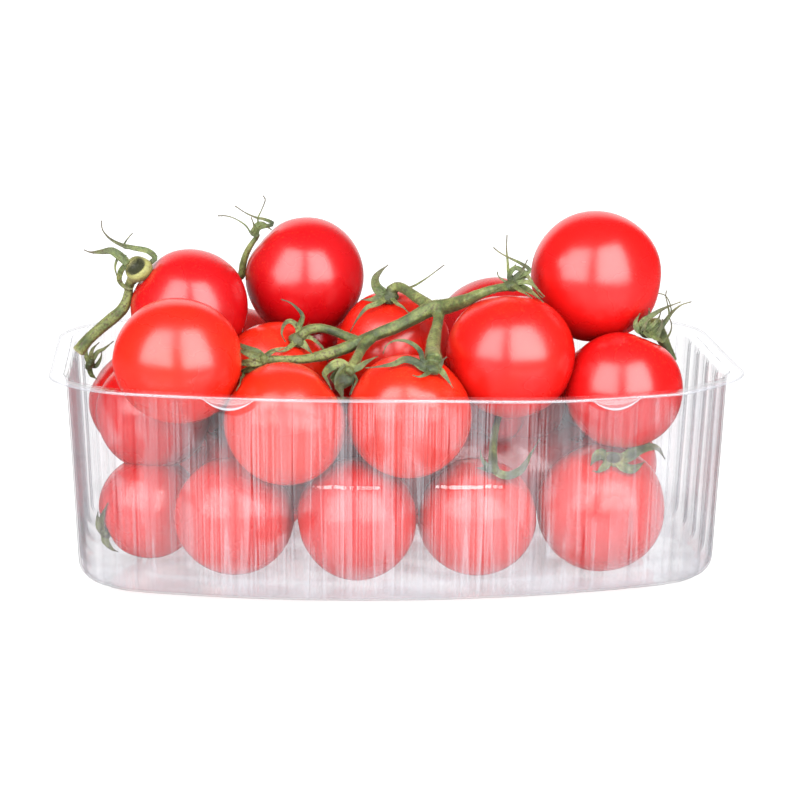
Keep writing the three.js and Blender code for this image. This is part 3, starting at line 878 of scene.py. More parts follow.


# The green parts: hub of each calyx, the way it faces, its radius and its leaves. Each leaf is half its
# greatest width and the points it runs through, measured from the hub. A hub may have a hollow, a share of
# painted shade that darkens its hollow or middle, and a share of paleness.
calyxes = {
    "T1": {"hub": (-36.6, -35.5, 60.4), "axis": (1, 0.1, 0), "radius": 1.7, "leaves": [
        (1.5, [(-1.6, 0.3, 1.5), (-3.4, 0.6, 2.3), (-5.6, 1.6, 3.3), (-7.4, 3.6, 4.2)]),
        (1.5, [(-1.6, -1.1, 1.1), (-3.4, -1.3, 1.7), (-5.6, -0.4, 2.4), (-7.4, 2.6, 2.8)]),
        (1.6, [(-1.6, -1.4, -0.3), (-3.4, -1.7, -0.5), (-5.6, -0.8, -0.7), (-7.4, 2.2, -0.8)]),
        (1.5, [(-1.6, -0.8, -1.5), (-3.4, -0.9, -2.3), (-5.5, 0.4, -3.2), (-7, 3, -4)]),
        (1.4, [(-1.6, 1.2, 1.2), (-3.4, 2, 1.6), (-5.3, 3, 2)]),
        (1.3, [(-2, 0.6, -1.7), (-4.2, 1.6, -2.9), (-6, 3, -4)]),
        (0.6, [(-3.2, 0, -2.5), (-5.3, 0, -3.9), (-5.7, -9.3, -4.6), (-6.8, -11.3, -6.5)]),
        (0.9, [(1.6, 0, 1.7), (4, 0, 2.8), (6.6, 0, 3.3)])]},
    "M2": {"hub": (-14.2, -42, 58.5), "axis": (0.7, 0.05, 0.7), "radius": 1.8, "leaves": [
        (3.1, [(-1.5, -0.8, -1.6), (-2.9, -1.6, -4.2), (-2.6, -3.6, -7.4)]),
        (1.5, [(-2.4, 0, 1.8), (-4.7, 0, 1), (-6.9, -3.1, -0.8), (-6.5, -6.2, -4.9)]),
        (1.0, [(2.4, 0, 0.7), (4.5, 0, 2.2), (7.6, 0, 3.8)]),
        (0.5, [(0.8, -0.8, -2), (0.9, -1.5, -3.9), (0.3, -2.5, -6.2)]),
        (0.45, [(1.6, -0.8, -1.5), (2.1, -2.8, -3.2), (2.1, -4, -6.4)]),
        (1.5, [(-3, 1, -1), (-5, 0, -3), (-6, -3, -5.5)])]},
    "M3": {"hub": (6.9, -51.2, 60.9), "axis": (0.25, -0.4, 0.88), "radius": 2.3, "leaves": [
        (1.2, [(-2.2, -1.2, 0.1), (-4.5, 0, 1.6), (-7.3, 0, 2.2), (-9.9, 0, 1.1), (-14.1, 0, 0.4),
               (-17.5, 0, 0.1)]),
        (0.85, [(-2.4, 0, 1.9), (-2.9, 0, 4), (-4.5, 0, 5.9), (-7.1, 0, 7.2), (-10, 0, 7.2), (-12, 0, 5.9),
                (-12.8, 0, 3.8)]), (1.0, [(2.1, 0, -0.8), (3.6, -1.3, -2.4), (5.3, -2.4, -4.9)]),
        (0.8, [(2.1, 0, 0.5), (2.9, 0, 2.1), (3.9, 0, 2.9)]),
        (1.0, [(-1.6, -3.1, -0.9), (-3.7, -4.5, -1.4), (-5.5, -4.4, -1)])]},
    "T4": {"hub": (-27.2, -21.8, 62.9), "axis": (0.35, -0.6, 0.7), "radius": 2.3, "shade": 0.6, "leaves": [
        (0.9, [(0.5, 0, 3.6), (1.4, 0, 6.6), (-0.3, 0, 9), (-2.1, 0, 10.4), (-4.3, 0, 11.2)]),
        (1.0, [(0.3, 0, 3.3), (-1.9, 0, 5.2), (-3.5, 0, 4.1), (-4.1, -0.5, 1.8), (-3.1, -2.8, 0)]),
        (1.4, [(1.8, -1.1, -1.2), (3.2, -1.8, -2.5), (4.3, -1.8, -3.7)]),
        (0.7, [(3, 0, 0.8), (5.4, 0, -0.6), (7.6, 0, -3.1), (8.4, 0, -6.1)]),
        (0.9, [(-2, -3.6, -1.2), (-3.9, -4.9, -2), (-6.9, -5.1, -2.2)])]},
    "T5": {"hub": (-1.7, -13.5, 73.2), "axis": (-0.1, -0.55, 0.8), "radius": 2.5, "shade": 0.65, "leaves": [
        (1.9, [(-2.2, 0, 1.1), (-3.6, 0, 2.8), (-3.8, 0, 5), (-2.5, 0, 6.9), (-0.3, 0, 8.8)]),
        (1.3, [(-2.6, -1.5, 0), (-5, -0.7, -0.7), (-7.6, 0, -0.8)]),
        (1.0, [(-3.5, -3.5, -1.3), (-6.4, -3.2, -2.5), (-8.9, -4, -5.3), (-10.9, -4.6, -8.8)]),
        (0.85, [(1.6, -4.4, -1.1), (3.4, -5.6, -2), (4.9, -7, -3.4)]),
        (0.45, [(1.9, 0, 1.9), (5.7, 0, 2.5), (9.5, 0, 4.6), (15, 0, 8.7)])]},
    "T7": {"hub": (29.6, -32, 79.2), "axis": (0.1, -0.3, 0.95), "radius": 2.2, "shade": 0.35, "leaves": [
        (1.3, [(2.1, -1.5, -0.3), (4.6, -5.5, -1), (7.2, -9.5, -3.2)]),
        (0.9, [(1.8, -1, 0.9), (4.8, -2, 0.9), (8.2, -6, -2)]),
        (0.8, [(-0.6, 0, 2.8), (1, 0, 4.7), (3.7, 0, 3.2), (5.8, -2, 0.2), (7.4, -6, -2.8)]),
        (0.45, [(-0.9, 0, 3.5), (-1.1, 0, 6), (-1.5, 0, 10), (-1.4, 0, 13.7)]),
        (0.7, [(1.8, 0, 2.4), (4.8, 0, 4), (2.2, 0, 6), (-0.4, 0, 7.3), (-3.3, 0, 8.9), (-5, 0, 10.3)]),
        (0.9, [(1, 0, 2), (2.8, 0, 4), (4.2, 0, 7)]),
        (0.5, [(-2.2, 0, 1.4), (-3.5, 0, 2.5), (-3.9, 0, 3.8)]),
        (0.8, [(0, 0.5, 1.8), (-0.6, 0.5, 3.8), (1.2, 0.5, 5.6)]),
        (0.7, [(2.4, 0.5, 1.6), (4.6, 0.5, 2.2), (6, 0, 0.6)]),
        (0.9, [(-1.6, -1.8, -0.6), (-3.8, -4.2, -1), (-5.2, -6.1, -1.5)]),
        (0.9, [(0.6, -3, 0.2), (2.2, -6.5, -0.8), (4.2, -9.5, -2.4)])]},
    "T2": {"hub": (-69.8, -8.5, 80.4), "axis": (-0.55, -0.5, 0.67), "radius": 4.2, "hollow": 0.75,
           "shade": 0.9, "pale": 0.5, "leaves": [
        (1.0, [(4.2, -0.5, 0.6), (4.7, 0, 3), (2.6, 0, 4.9), (-1.1, 0, 5.7), (-4.5, 0, 6.6),
               (-7.6, 0, 8.4), (-9.5, 0, 10.8), (-9.7, 0, 13.3)]),
        (1.5, [(-2.6, -2.2, 1.8), (-4.4, -1.2, 3.4), (-7, 0, 4.9), (-9.7, 0, 4.7), (-12.7, 0, 4.6),
               (-14.6, 0, 5.3)]),
        (0.35, [(-2.5, 0, 5.6), (-3.9, 0, 6), (-3.6, 0, 7), (-2.6, 0, 8.5), (-1.4, 0, 9.8)]),
        (1.0, [(-3.4, -1.6, 1.4), (-4.8, -0.5, -0.8), (-5.1, 0, -3.4), (-3, 0, -5.4), (0.6, -1, -5.2)]),
        (0.45, [(-3.1, 0, 3.6), (-5.3, 0, 3), (-6.2, 0, 0.6), (-5.7, 0, -2), (-4.4, 0, -3.7)])]},
    "T3": {"hub": (-37.1, 9, 86.6), "axis": (-0.75, 0.1, 0.65), "radius": 1.0, "leaves": [
        (0.85, [(-0.6, 0, 1.4), (0.2, 0, 3.2), (2.2, 0, 3.2), (4.2, -5, 2)]),
        (0.7, [(0.8, 0, 2.2), (4.6, -2, 3.6), (2, 0, 4.7), (0, 0, 5.1), (-3.1, 0, 6.5), (-6.1, 0, 8.5)]),
        (0.3, [(0.3, 0, 3.1), (0.3, 0, 5.1), (1.4, 0, 7.6), (2.3, 0, 10.1), (1.7, 0, 11.3)]),
        (0.3, [(-1.4, 0, 0.3), (-3.1, 0, 2.9), (-6.1, 0, 4.9), (-8.7, 0, 5.7), (-10.9, 0, 5.7)]),
        (0.5, [(-1.4, 0, 1.1), (-0.8, 0, 2.8), (-1.6, 0, 5.3)])]},
    "M5": {"hub": (65.4, -35.8, 66.6), "axis": (0.2, -0.2, 0.93), "radius": 1.7, "shade": 0.3, "leaves": [
        (1.0, [(-1.5, 0, 1.1), (-0.9, 0, 3.1), (1.5, 0, 4.9), (4.9, 0, 6.9), (9.2, 0, 8.6)]),
        (1.2, [(-0.7, -4, 0), (2.4, -1, 0.4), (4.8, 0, 2.9), (7.1, 0, 6), (9.5, 0, 7.8), (12.1, 0, 8.6)]),
        (0.55, [(4, 0, 1.9), (6.1, 0, 4.6), (5.7, 0, 7.7), (5.1, 0, 10.1), (5.3, 0, 11.7)]),
        (0.35, [(6.1, 0.5, 4.6), (6.5, 0.5, 7.5), (5.1, 0.5, 10.2), (3.2, 0.5, 10.8)]),
        (0.6, [(1.3, -4, -0.6), (4.5, 0, -2.2), (6.5, 0, 0.2), (6.8, 0, 2.7), (5.8, 0, 5.1)]),
        (1.2, [(-2.3, -1, 1.2), (-2.9, 0, 3), (-1.7, 0, 5.6)]),
        (1.1, [(0.2, 0.5, 2.2), (0.8, 0.5, 4.4), (0.7, 0, 7)]),
        (1.0, [(-1.2, -1.6, -0.4), (-0.9, -1.8, 2), (0.6, -1.4, 4.6)]),
        (1.0, [(2, -1.4, -1), (3.6, -1.4, 1.4), (4.2, -1, 4.2)]),
        (0.7, [(1, 0, 1.6), (3.2, 0, 4), (4, 0, 6.4)])]},
    "M0": {"hub": (-84.3, 16.6, 49.1), "axis": (-0.8, -0.1, 0.55), "radius": 1.8, "shade": 0.5, "leaves": [
        (0.9, [(0.3, 0, 2), (0.9, 0, 4.3), (2.8, 0, 6.3)]),
        (0.9, [(0.9, 0, 1.4), (2.3, 0, 3.4), (4, 0, 4.3), (6.8, 0, 6.6)]),
        (0.9, [(-0.8, 0, 2.3), (-0.8, 0, 4.6), (0.1, 0, 6.6)]),
        (0.8, [(1.7, 0, -0.6), (3.1, 0, 1.7), (3.4, 0, 4)]),
        (0.9, [(0, 0, -1.7), (0.5, 0, -3.2), (2.1, -4.2, -3.5)])]},
    "B4": {"hub": (23.8, -46, 32.5), "axis": (0.1, -0.4, 0.9), "radius": 1.7, "leaves": [
        (1.5, [(1.5, -0.6, -1.2), (4.2, -0.8, -1.8), (8, 3, -1), (11, 8, 2), (13.4, 8.4, 6)]),
        (1.0, [(-1.6, 0, 0.6), (-3, 0, 2.6), (-3.4, 0.5, 5)]), (1.1, [(-1.6, 1, -0.6), (-4, 2, -1.6)])]},
    "B5": {"hub": (56.5, -42, 33.6), "axis": (-0.1, -0.62, 0.78), "radius": 2.8, "hollow": 0.6,
           "shade": 0.85, "pale": 0.35, "leaves": [
        (1.9, [(-2.3, -0.5, 1.1), (-3.6, -0.4, 1.6), (-5.3, -1.4, 0.9), (-6.7, -3.9, -0.6)]),
        (2.0, [(2.3, -0.8, 0.4), (3.8, -0.6, 1), (7.2, 0, 2.9), (11.5, 0, 3.2), (14, 0, 0)]),
        (1.5, [(0.7, -2.3, -0.7), (2, -3.8, -1.2), (4.5, -4.3, -1.6), (8.4, 0, -0.6)]),
        (1.4, [(-1.7, -2.2, -0.5), (-2.9, -3.8, -0.9), (-4.9, -5.6, -1.8), (-6.4, -5.6, -1.6)])]},
    "B1": {"hub": (-79.6, -17.7, 9.1), "axis": (-0.85, -0.2, -0.45), "radius": 2.0, "shade": 0.5,
           "leaves": [
        (1.2, [(-0.7, -3.2, 3.7), (0, -5.6, 7.1), (1.2, -6.8, 9.9)]),
        (1.2, [(0.2, 0, -2.5), (1.8, 0, -4.8), (3.5, 0, -5.7)]),
        (1.2, [(-1.3, 0, 1.1), (-1.8, 0, 4), (-1.5, -1.2, 6)])]},
}


def tomatoAxis(name, chance):
    # A tomato's stem end faces its calyx. The others lie at random, with that end away from the front.
    if name in calyxes:
        return Vector(calyxes[name]["hub"]) - Vector(tomatoes[name][:3])
    return Vector((chance.uniform(-1, 1), chance.uniform(0.1, 1), chance.uniform(-0.6, 0.6)))


def makeTomatoes(s):
    chance = random.Random(s["seed"])
    forms = bpy.data.collections.new("tomatoForms")
    for number, height in enumerate(s["heights"]):
        mesh = tomatoForm(f"tomatoForm{number}", s, height, 1.9 * number + 0.4)
        forms.objects.link(bpy.data.objects.new(mesh.name, mesh))
    middles, sizes, turns, formOf, ripeness = [], [], [], [], []
    for name, (x, y, z, radius) in tomatoes.items():
        axis = tomatoAxis(name, chance).normalized()
        spin = Matrix.Rotation(chance.uniform(0, 2 * math.pi), 3, "Z")
        turn = axis.to_track_quat("Z", "Y").to_matrix() @ spin
        middles.append((x * mm, y * mm, z * mm))
        sizes.append(radius * mm)
        turns.append(tuple(turn.to_euler()))
        formOf.append(s["longOnes"].get(name, chance.randrange(4)))
        ripeness.append(s["ripe"].get(name, chance.uniform(0.3, 0.9)))
    mesh = meshOf("tomatoMiddles", middles, [])
    setAttribute(mesh, "size", sizes)
    setAttribute(mesh, "turn", turns, "FLOAT_VECTOR")
    setAttribute(mesh, "form", formOf, "INT")
    setAttribute(mesh, "ripeness", ripeness)
    thing = objectOf("tomatoMiddles", mesh)
    skin = tomatoSkin(tomatoSkinSettings)
    growNodes(thing, tomatoTree(), {"Forms": forms, "Skin": skin})
    whole = settled(thing, "cherryTomatoes")
    for form in list(forms.objects):
        bpy.data.objects.remove(form)
    bpy.data.collections.remove(forms)
    smoothShaded(whole)
    finishedPiece("cherryTomatoes", whole, "tomatoes")
    return skin


coreSettings = {
    "sunk": 3.0,
    "voxel": 1.8,
    "soften": (0.6, 5),
}


def makeCore(s, skin):
    # The dark middle of the heap, seen only in the gaps: the part's own heap, sunk below the tomatoes' skins
    source = bmesh.new()
    source.from_mesh(frame["nodes"]["tomatoes"].data)
    bmesh.ops.remove_doubles(source, verts=source.verts, dist=1e-6)
    source.normal_update()
    for vertex in source.verts:
        vertex.co -= vertex.normal * s["sunk"] * mm
    mesh = bpy.data.meshes.new("heapCore")
    source.to_mesh(mesh)
    source.free()
    whole = blended(objectOf("heapCore", mesh), "heapCore", s["voxel"], *s["soften"])
    smoothShaded(whole)
    setAttribute(whole, "ripeness", [1.0] * len(whole.vertices))
    whole.materials.clear()
    whole.materials.append(skin)
    finishedPiece("heapCore", whole, "tomatoes")


makeCore(coreSettings, makeTomatoes(tomatoSettings))
print("stage 5: the tomatoes are heaped")


# Stems: the points each runs through, with its radius there
frontStems = [
    [(29.5, -31, 78.8, 1.1), (26.4, -33, 78.7, 1.15), (22.3, -34.5, 77.7, 1.3), (18.4, -33, 75.8, 1.7),
     (14.8, -29, 73.8, 2.0), (11.9, -26, 72.5, 2.1), (8.5, -24.5, 71.7, 2.2), (4.5, -25, 69.6, 1.9),
     (-0.2, -26, 67.4, 1.75), (-5.1, -26.5, 65.6, 1.6), (-10.4, -26.5, 63.4, 1.6),
     (-14.5, -27.5, 61.7, 1.6), (-20, -30, 60.4, 1.5), (-25.4, -32, 59.7, 1.25), (-30.8, -33.5, 59.9, 1.1),
     (-36.2, -35.4, 60.3, 1.2)],
    [(10.6, -25, 71.8, 1.6), (10.4, -28.5, 69.4, 1.4), (8.8, -36, 66.5, 1.6), (7.6, -43.5, 63.8, 2.0),
     (7, -50, 61.6, 2.4)],
    [(8.6, -24, 72.4, 1.6), (5.4, -20, 73.9, 1.5), (2.6, -16.5, 75.5, 1.4), (0.4, -14, 76.1, 1.4),
     (-1.6, -13.2, 74.6, 1.5)],
    [(-7.2, -27, 64.6, 1.6), (-9.5, -29, 62.8, 1.5), (-11.1, -33, 61.2, 1.35), (-12.4, -37.5, 59.9, 1.5),
     (-13.8, -41.2, 58.7, 1.8)],
    [(-10.9, -26, 63.3, 1.4), (-14.3, -24, 64.4, 1.25), (-17.5, -22.8, 65.5, 1.2), (-21, -22.3, 66.3, 1.2),
     (-24.2, -21.8, 65.7, 1.3), (-26.3, -21.8, 64, 1.5)],
]
backStems = [
    [(-86.6, -6, 57, 1.75), (-83.3, -6, 60.9, 1.65), (-78.3, -6, 65.3, 1.65), (-74.5, -6, 68.6, 1.6),
     (-72.8, -6, 72.2, 1.3), (-72.4, -6.3, 75.8, 1.15), (-71.2, -7, 78, 1.4)],
    [(-73, -5.5, 75, 1.1), (-69, 2, 77, 1.1), (-62, 10, 78, 1.1), (-54, 13, 76, 1.2),
     (-46, 13.5, 74.4, 1.2), (-41.4, 11.5, 75, 1.15), (-39.6, 10.2, 79.5, 1.0), (-38, 9.4, 83.5, 0.8),
     (-37.1, 9, 86.4, 0.7)],
]
endStems = [
    [(65.8, -35.5, 67, 1.6), (68.5, -31.5, 68.5, 1.8), (70.2, -29, 65.8, 1.9), (72.2, -27.8, 62, 1.6),
     (74.6, -27, 57.5, 1.1)],
]
middleStems = [
    [(27, -31, 44, 0.9), (25.4, -36, 41, 1.0), (24.3, -41, 37, 1.1), (23.8, -45.4, 33, 1.4)],
]
vineSettings = {
    "step": 0.8,
    "sides": 14,
    "ribs": 5,
    "ribDepth": 0.07,
    "roughness": 0.06,
    "unevenness": 0.10,  # of a stem's radius along its length
    "stemGap": 0.7,  # from the tomatoes' skins to a stem's middle, against its radius
    "voxel": 0.3,
    "soften": (0.5, 3),
    "hubHeight": 0.66,
    "hubRings": 14,
    "hubSides": 20,
    "hollowWidth": 0.68,
    "leafThickness": 0.3,
    "leafSteps": 24,
    "leafGap": 0.45,
    "leafLeast": 0.15,  # half the width of its thread
    "leafFold": 0.42,
    "leafRipple": 0.12,
    "cutEnd": (1.9, 0.5),  # reach of the pale cut end, and width of its edge
    "paleHub": (1.35, 0.3),  # the same of a pale hub, against its radius
    "hairDensity": 3.2,  # hairs per square millimetre
    "hairLength": 0.6,
    "hairRadius": 0.03,
    "hairLean": 0.55,  # radians
    "hairLeast": 0.35,  # the shortest hair, against the longest
    "seed": 11,
}
vinePieces = {
    "vine_front": {"stems": frontStems, "calyxes": ["T1", "M2", "M3", "T4", "T5", "T7"], "cut": None},
    "vine_back": {"stems": backStems, "calyxes": ["T2", "T3"], "cut": (-86.6, -6, 57)},
    "calyx_right": {"stems": endStems, "calyxes": ["M5"], "cut": None},
    "calyx_left": {"stems": [], "calyxes": ["M0"], "cut": None},
    "calyx_bottom_middle": {"stems": middleStems, "calyxes": ["B4"], "cut": None},
    "calyx_bottom_right": {"stems": [], "calyxes": ["B5"], "cut": None},
    "calyx_bottom_left": {"stems": [], "calyxes": ["B1"], "cut": None},
}


def smoothPath(points, step):
    # A Catmull-Rom curve through the points, cut into even steps
    ends = [2 * np.array(points[0]) - np.array(points[1]), 2 * np.array(points[-1]) - np.array(points[-2])]
    known = np.array([ends[0], *points, ends[1]], dtype=float)
    fine = []
    for i in range(1, len(known) - 2):
        a, b, c, d = known[i - 1:i + 3]
        for t in np.linspace(0, 1, 24, endpoint=False):
            fine.append(0.5 * (2 * b + (c - a) * t + (2 * a - 5 * b + 4 * c - d) * t ** 2
                               + (3 * b - a - 3 * c + d) * t ** 3))
    fine.append(known[-2])
    fine = np.array(fine)
    lengths = np.concatenate([[0], np.cumsum(np.linalg.norm(np.diff(fine[:, :3], axis=0), axis=1))])
    count = max(4, int(round(lengths[-1] / step)) + 1)
    places = np.linspace(0, lengths[-1], count)
    return np.stack([np.interp(places, lengths, fine[:, k]) for k in range(fine.shape[1])], axis=1)


def clearOfTomatoes(path, gaps):
    # Pushes a path out of the tomatoes, to lie on their skins
    for x, y, z, radius in tomatoes.values():
        away = path - np.array((x, y, z))
        length = np.linalg.norm(away, axis=1)
        short = np.maximum(0, radius + gaps - length)
        path = path + away / length[:, None] * short[:, None]
    return path


def headings(path):
    ahead = np.gradient(path, axis=0)
    return ahead / np.linalg.norm(ahead, axis=1)[:, None]


def stemMesh(points, s, phase):
    path = smoothPath(points, s["step"])
    path, radii = path[:, :3], path[:, 3]
    path = clearOfTomatoes(path, s["stemGap"] * radii)
    path[1:-1] = (path[:-2] + 2 * path[1:-1] + path[2:]) / 4
    ahead = headings(path)
    across = np.cross(ahead[0], (0.3, 0.2, 1.0))
    vertices, sides = [], s["sides"]
    for i, (place, way) in enumerate(zip(path, ahead)):
        across -= way * np.dot(across, way)
        across /= np.linalg.norm(across)
        up = np.cross(way, across)
        swell = noise.noise(Vector(place) * 0.16 + Vector((phase, 0, 0)))
        radius = radii[i] * (1 + s["unevenness"] * swell)
        for side in range(sides):
            turn = 2 * math.pi * side / sides
            out = across * math.cos(turn) + up * math.sin(turn)
            rib = 1 + s["ribDepth"] * math.cos(s["ribs"] * turn + 0.06 * i)
            grain = 1 + s["roughness"] * noise.noise(Vector(place + out * radius) * 0.9)
            vertices.append(place + out * radius * rib * grain)
    return vertices, ringFaces(len(path), sides)


def hubMesh(calyx, s):
    # A squashed ball with five low lobes, or an uneven cup
    axis = Vector(calyx["axis"]).normalized()
    turn = axis.to_track_quat("Z", "Y").to_matrix()
    rings, sides = s["hubRings"], s["hubSides"]
    vertices, faces = [], []
    for ring in range(rings + 1):
        angle = math.pi * ring / rings
        dent = calyx.get("hollow", 0.0) * math.exp(-(angle / s["hollowWidth"]) ** 4)
        for side in range(sides):
            around = 2 * math.pi * side / sides
            star = 1 + 0.1 * math.cos(5 * around) * math.sin(angle)
            if "hollow" in calyx:
                star = 1 + 0.13 * math.cos(2 * around + 0.6) + 0.06 * math.sin(3 * around)
            out = math.sin(angle) * star
            spot = Vector((out * math.cos(around), out * math.sin(around),
                           s["hubHeight"] * math.cos(angle) - dent)) * calyx["radius"]
            vertices.append(Vector(calyx["hub"]) + turn @ spot)
    for ring in range(rings):
        low, high = ring * sides, (ring + 1) * sides
        for side in range(sides):
            after = (side + 1) % sides
            faces.append((low + side, high + side, high + after, low + after))
    return vertices, faces


def leafMesh(calyx, halfWidth, points, s, chance):
    # A thin leaf, folded along its middle, that narrows to a curled thread
    hub = np.array(calyx["hub"])
    start = [] if calyx.get("hollow") else [hub]
    path = smoothPath(start + [hub + np.array(p) for p in points], 0.1)
    places = np.linspace(0, len(path) - 1, s["leafSteps"] + 1).round().astype(int)
    path = clearOfTomatoes(path[places], s["leafGap"])
    ahead = headings(path)
    # Blades lie with their broad side up and forward, turned a little at random
    axis = np.array(Vector(calyx["axis"]).normalized())
    facing = 0.4 * axis + np.array((chance.uniform(-0.3, 0.4), -1, 0.2))
    width = halfWidth * chance.uniform(0.92, 1.1)
    ripple = chance.uniform(0, 6)
    vertices, dryness = [], []
    spread = (-1.0, -0.55, 0.0, 0.55, 1.0)
    for i, (place, way) in enumerate(zip(path, ahead)):
        share = i / s["leafSteps"]
        across = np.cross(facing, way)
        if np.linalg.norm(across) < 0.15:
            across = np.cross(facing + np.array((0.4, 0, 0.4)), way)
        across /= np.linalg.norm(across)
        up = np.cross(way, across)
        belly = math.sin(math.pi * min(1, 0.22 + 0.83 * share)) ** 0.9
        half = max(s["leafLeast"], width * (0.16 + 0.84 * belly) * (1 - 0.62 * share))
        thick = s["leafThickness"] * (1 - 0.35 * share)
        for level in (1, -1):
            for edge in spread if level > 0 else spread[::-1]:
                wave = math.sin(9 * share + ripple + 2 * edge)
                lift = s["leafFold"] * half * edge * edge + s["leafRipple"] * half * wave
                thin = thick * (1 - 0.6 * edge * edge)
                vertices.append(place + across * half * edge + up * (lift + level * thin / 2))
                dryness.append(share)
    return vertices, ringFaces(len(path), 2 * len(spread)), dryness


def joinedMesh(name, parts):
    vertices, faces = [], []
    for partVertices, partFaces in parts:
        start = len(vertices)
        vertices.extend(tuple(c * mm for c in v) for v in partVertices)
        faces.extend(tuple(start + k for k in face) for face in partFaces)
    mesh = meshOf(name, vertices, faces)
    form = bmesh.new()
    form.from_mesh(mesh)
    bmesh.ops.remove_doubles(form, verts=form.verts, dist=1e-7)
    bmesh.ops.recalc_face_normals(form, faces=form.faces)
    form.to_mesh(mesh)
    form.free()
    return mesh


def fusedMesh(name, parts, s):
    return blended(objectOf(name, joinedMesh(name, parts)), name, s["voxel"], *s["soften"])


def hairTree(s):
    # Short hairs over the green parts, leaning a little at random
    tree, inputs = nodeTree("vineHairs", [
        ("Density", "Float"), ("Hair Length", "Float"), ("Hair Radius", "Float"), ("Seed", "Int"),
        ("Green", "Material")])
    spots = put(tree, "GeometryNodeDistributePointsOnFaces", {
        "Mesh": inputs["Geometry"], "Density": inputs["Density"], "Seed": inputs["Seed"]})
    hair = put(tree, "GeometryNodeMeshCone", {
        "Vertices": 3, "Radius Top": 0.0, "Radius Bottom": inputs["Hair Radius"],
        "Depth": inputs["Hair Length"]}, fill_type="NGON")
    lean = put(tree, "FunctionNodeRandomValue", {"Seed": inputs["Seed"]}, data_type="FLOAT_VECTOR")
    lean.inputs[0].default_value = (-s["hairLean"], -s["hairLean"], 0.0)
    lean.inputs[1].default_value = (s["hairLean"], s["hairLean"], 6.28)
    leaning = put(tree, "FunctionNodeEulerToRotation", {"Euler": lean.outputs[0]})
    turned = put(tree, "FunctionNodeRotateRotation", {
        "Rotation": spots.outputs["Rotation"], "Rotate By": leaning.outputs[0]}, rotation_space="LOCAL")
    size = put(tree, "FunctionNodeRandomValue", {"Seed": inputs["Seed"]}, data_type="FLOAT")
    size.inputs[2].default_value = s["hairLeast"]
    size.inputs[3].default_value = 1.0
    hairs = put(tree, "GeometryNodeInstanceOnPoints", {
        "Points": spots.outputs["Points"], "Instance": hair.outputs["Mesh"], "Rotation": turned.outputs[0],
        "Scale": size.outputs[1]})
    both = tree.nodes.new("GeometryNodeJoinGeometry")
    tree.links.new(hairs.outputs[0], both.inputs[0])
    tree.links.new(inputs["Geometry"], both.inputs[0])
    endTree(tree, both.outputs[0], inputs["Green"])
    return tree


greenSettings = {
    "dark": (0.013, 0.024, 0.005),
    "green": (0.056, 0.080, 0.017),
    "light": (0.140, 0.158, 0.042),
    "pale": (0.30, 0.27, 0.085),
    # the brown of dry tips and flecks, also used as painted shade on the undersides
    "brownAndShade": (0.045, 0.026, 0.011),
    # the colour of the painted shade over the hubs and in their hollows
    "shade": (0.011, 0.014, 0.006),
    # the tan of the painted sheen on the edges
    "paintedSheen": (0.16, 0.10, 0.045),
    "cut": (0.30, 0.26, 0.16),
    "roughness": 0.6,
    "sheen": 0.25,
}


def vineGreen(s):
    material, tree = freshMaterial("vineGreen")
    spots = objectSpots(tree)
    patches = put(tree, "ShaderNodeTexNoise", {
        "Vector": spots, "Scale": 240.0, "Detail": 4.0, "Roughness": 0.7}).outputs["Fac"]
    broad = noiseOf(tree, spots, 60.0, 2.0)
    grain = noiseOf(tree, spots, 1700.0, 3.0)
    dots = cellsOf(tree, spots, 900.0)
    paleness = attributeOf(tree, "pale")
    upward = partsOf(tree, put(tree, "ShaderNodeNewGeometry").outputs["Normal"])["Z"]
    edge = put(tree, "ShaderNodeLayerWeight", {"Blend": 0.3}).outputs["Facing"]
    dry = remap(tree, attributeOf(tree, "dryness"), 0.35, 1.0)
    flecks = product(tree, remap(tree, grain, 0.53, 0.61), remap(tree, broad, 0.4, 0.6, 0.3, 0.8))

    # Green in patches, with the other colours over it in this order, each by its own share
    tone = total(tree, product(tree, patches, 0.6), product(tree, broad, 0.4))
    base = ramp(tree, tone, [(0.37, s["dark"]), (0.48, s["green"]), (0.59, s["light"])])
    layers = [
        ("pale", paleness),
        # painted shade: faces turned downwards are mixed towards the dark brown
        ("brownAndShade", remap(tree, upward, -0.25, -0.85, 0.0, 0.7)),  # underneath
        # painted sheen: a pale tan where the surface turns away from the view
        ("paintedSheen", product(tree, math2(tree, "POWER", edge, 2.0), 0.7)),
        ("brownAndShade", product(tree, dry, remap(tree, grain, 0.3, 0.6, 0.5, 1.0))),  # towards the tips
        ("brownAndShade", product(tree, flecks, lessened(tree, paleness, 1.0))),
        ("light", product(tree, remap(tree, dots, 0.20, 0.10), 0.35)),
        # painted shade over the hubs and in their hollows
        ("shade", attributeOf(tree, "shade")),
        ("cut", attributeOf(tree, "cutEnd")),
    ]
    for name, share in layers:
        base = blendColours(tree, share, base, (*s[name], 1))
    surface = put(tree, "ShaderNodeBsdfPrincipled", {
        "Base Color": base, "Roughness": s["roughness"],
        "Normal": bumpOf(tree, total(tree, patches, grain), 0.6, 0.0003),
        "Sheen Weight": s["sheen"], "Sheen Roughness": 0.4, "Sheen Tint": (0.5, 0.5, 0.3, 1)})
    finishMaterial(tree, surface.outputs[0])
    return material


def fading(away, reach, edge):
    # 1 near a place, 0 beyond the reach
    return np.clip((reach - away) / edge, 0, 1)


def hubPaintedShade(calyx, places):
    # Painted shade: dark in a hub's hollow, or over the hub where it has none
    axis = np.array(Vector(calyx["axis"]).normalized())
    radius, hollow = calyx["radius"], calyx.get("hollow", 0.0)
    middle = np.array(calyx["hub"]) + axis * radius * (0.22 if hollow else 0.0)
    away = np.linalg.norm(places - middle, axis=1) / radius
    reach = 0.78 if hollow else 1.15
    return calyx.get("shade", 0.0) * fading(away, reach, 0.2)


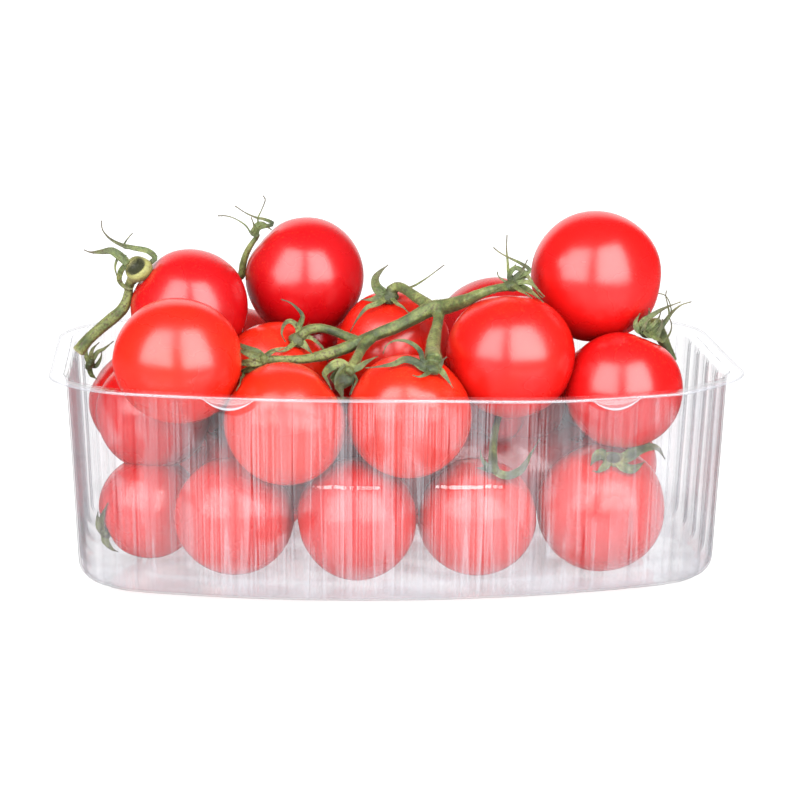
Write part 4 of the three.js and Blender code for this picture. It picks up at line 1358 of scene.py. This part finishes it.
def makeGreenPiece(name, plan, s, tree, green, chance):
    solid = [stemMesh(points, s, chance.uniform(0, 9)) for points in plan["stems"]]
    solid += [hubMesh(calyxes[holder], s) for holder in plan["calyxes"]]
    body = fusedMesh(name + "Body", solid, s)
    leaves = [leafMesh(calyxes[holder], width, points, s, chance)
              for holder in plan["calyxes"] for width, points in calyxes[holder]["leaves"]]
    blades = joinedMesh(name + "Leaves", [(vertices, faces) for vertices, faces, _ in leaves])
    dryness = [value for leaf in leaves for value in leaf[2]]
    places = np.array([tuple(v.co) for v in body.vertices]) / mm
    cut, shade, pale = np.zeros(len(places)), np.zeros(len(places)), np.zeros(len(places))
    if plan["cut"]:
        away = np.linalg.norm(places - np.array(plan["cut"]), axis=1)
        cut = fading(away, *s["cutEnd"])
    for holder in plan["calyxes"]:
        calyx = calyxes[holder]
        # painted shade of each hub, kept at its darkest
        shade = np.maximum(shade, hubPaintedShade(calyx, places))
        away = np.linalg.norm(places - np.array(calyx["hub"]), axis=1) / calyx["radius"]
        pale = np.maximum(pale, calyx.get("pale", 0.0) * fading(away, *s["paleHub"]))
    form = bmesh.new()
    form.from_mesh(body)
    form.from_mesh(blades)
    whole = bpy.data.meshes.new(name)
    form.to_mesh(whole)
    form.free()
    setAttribute(whole, "dryness", [0.0] * len(places) + dryness)
    for field, values in (("cutEnd", cut), ("shade", shade), ("pale", pale)):
        setAttribute(whole, field, [*values] + [0.0] * len(dryness))
    thing = objectOf(name + "Form", whole)
    growNodes(thing, tree, {
        "Density": s["hairDensity"] / mm ** 2, "Hair Length": s["hairLength"] * mm,
        "Hair Radius": s["hairRadius"] * mm, "Seed": s["seed"], "Green": green})
    finished = settled(thing, name)
    smoothShaded(finished)
    finishedPiece(name + "_leafy", finished, name)


chance = random.Random(vineSettings["seed"])
hairs = hairTree(vineSettings)
green = vineGreen(greenSettings)
for name, plan in vinePieces.items():
    makeGreenPiece(name, plan, vineSettings, hairs, green, chance)
print("stage 6: the vines are grown")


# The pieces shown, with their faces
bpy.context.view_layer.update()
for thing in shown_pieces():
    print("piece", thing.name, len(thing.data.polygons), "faces")
print("stage 7: finished")
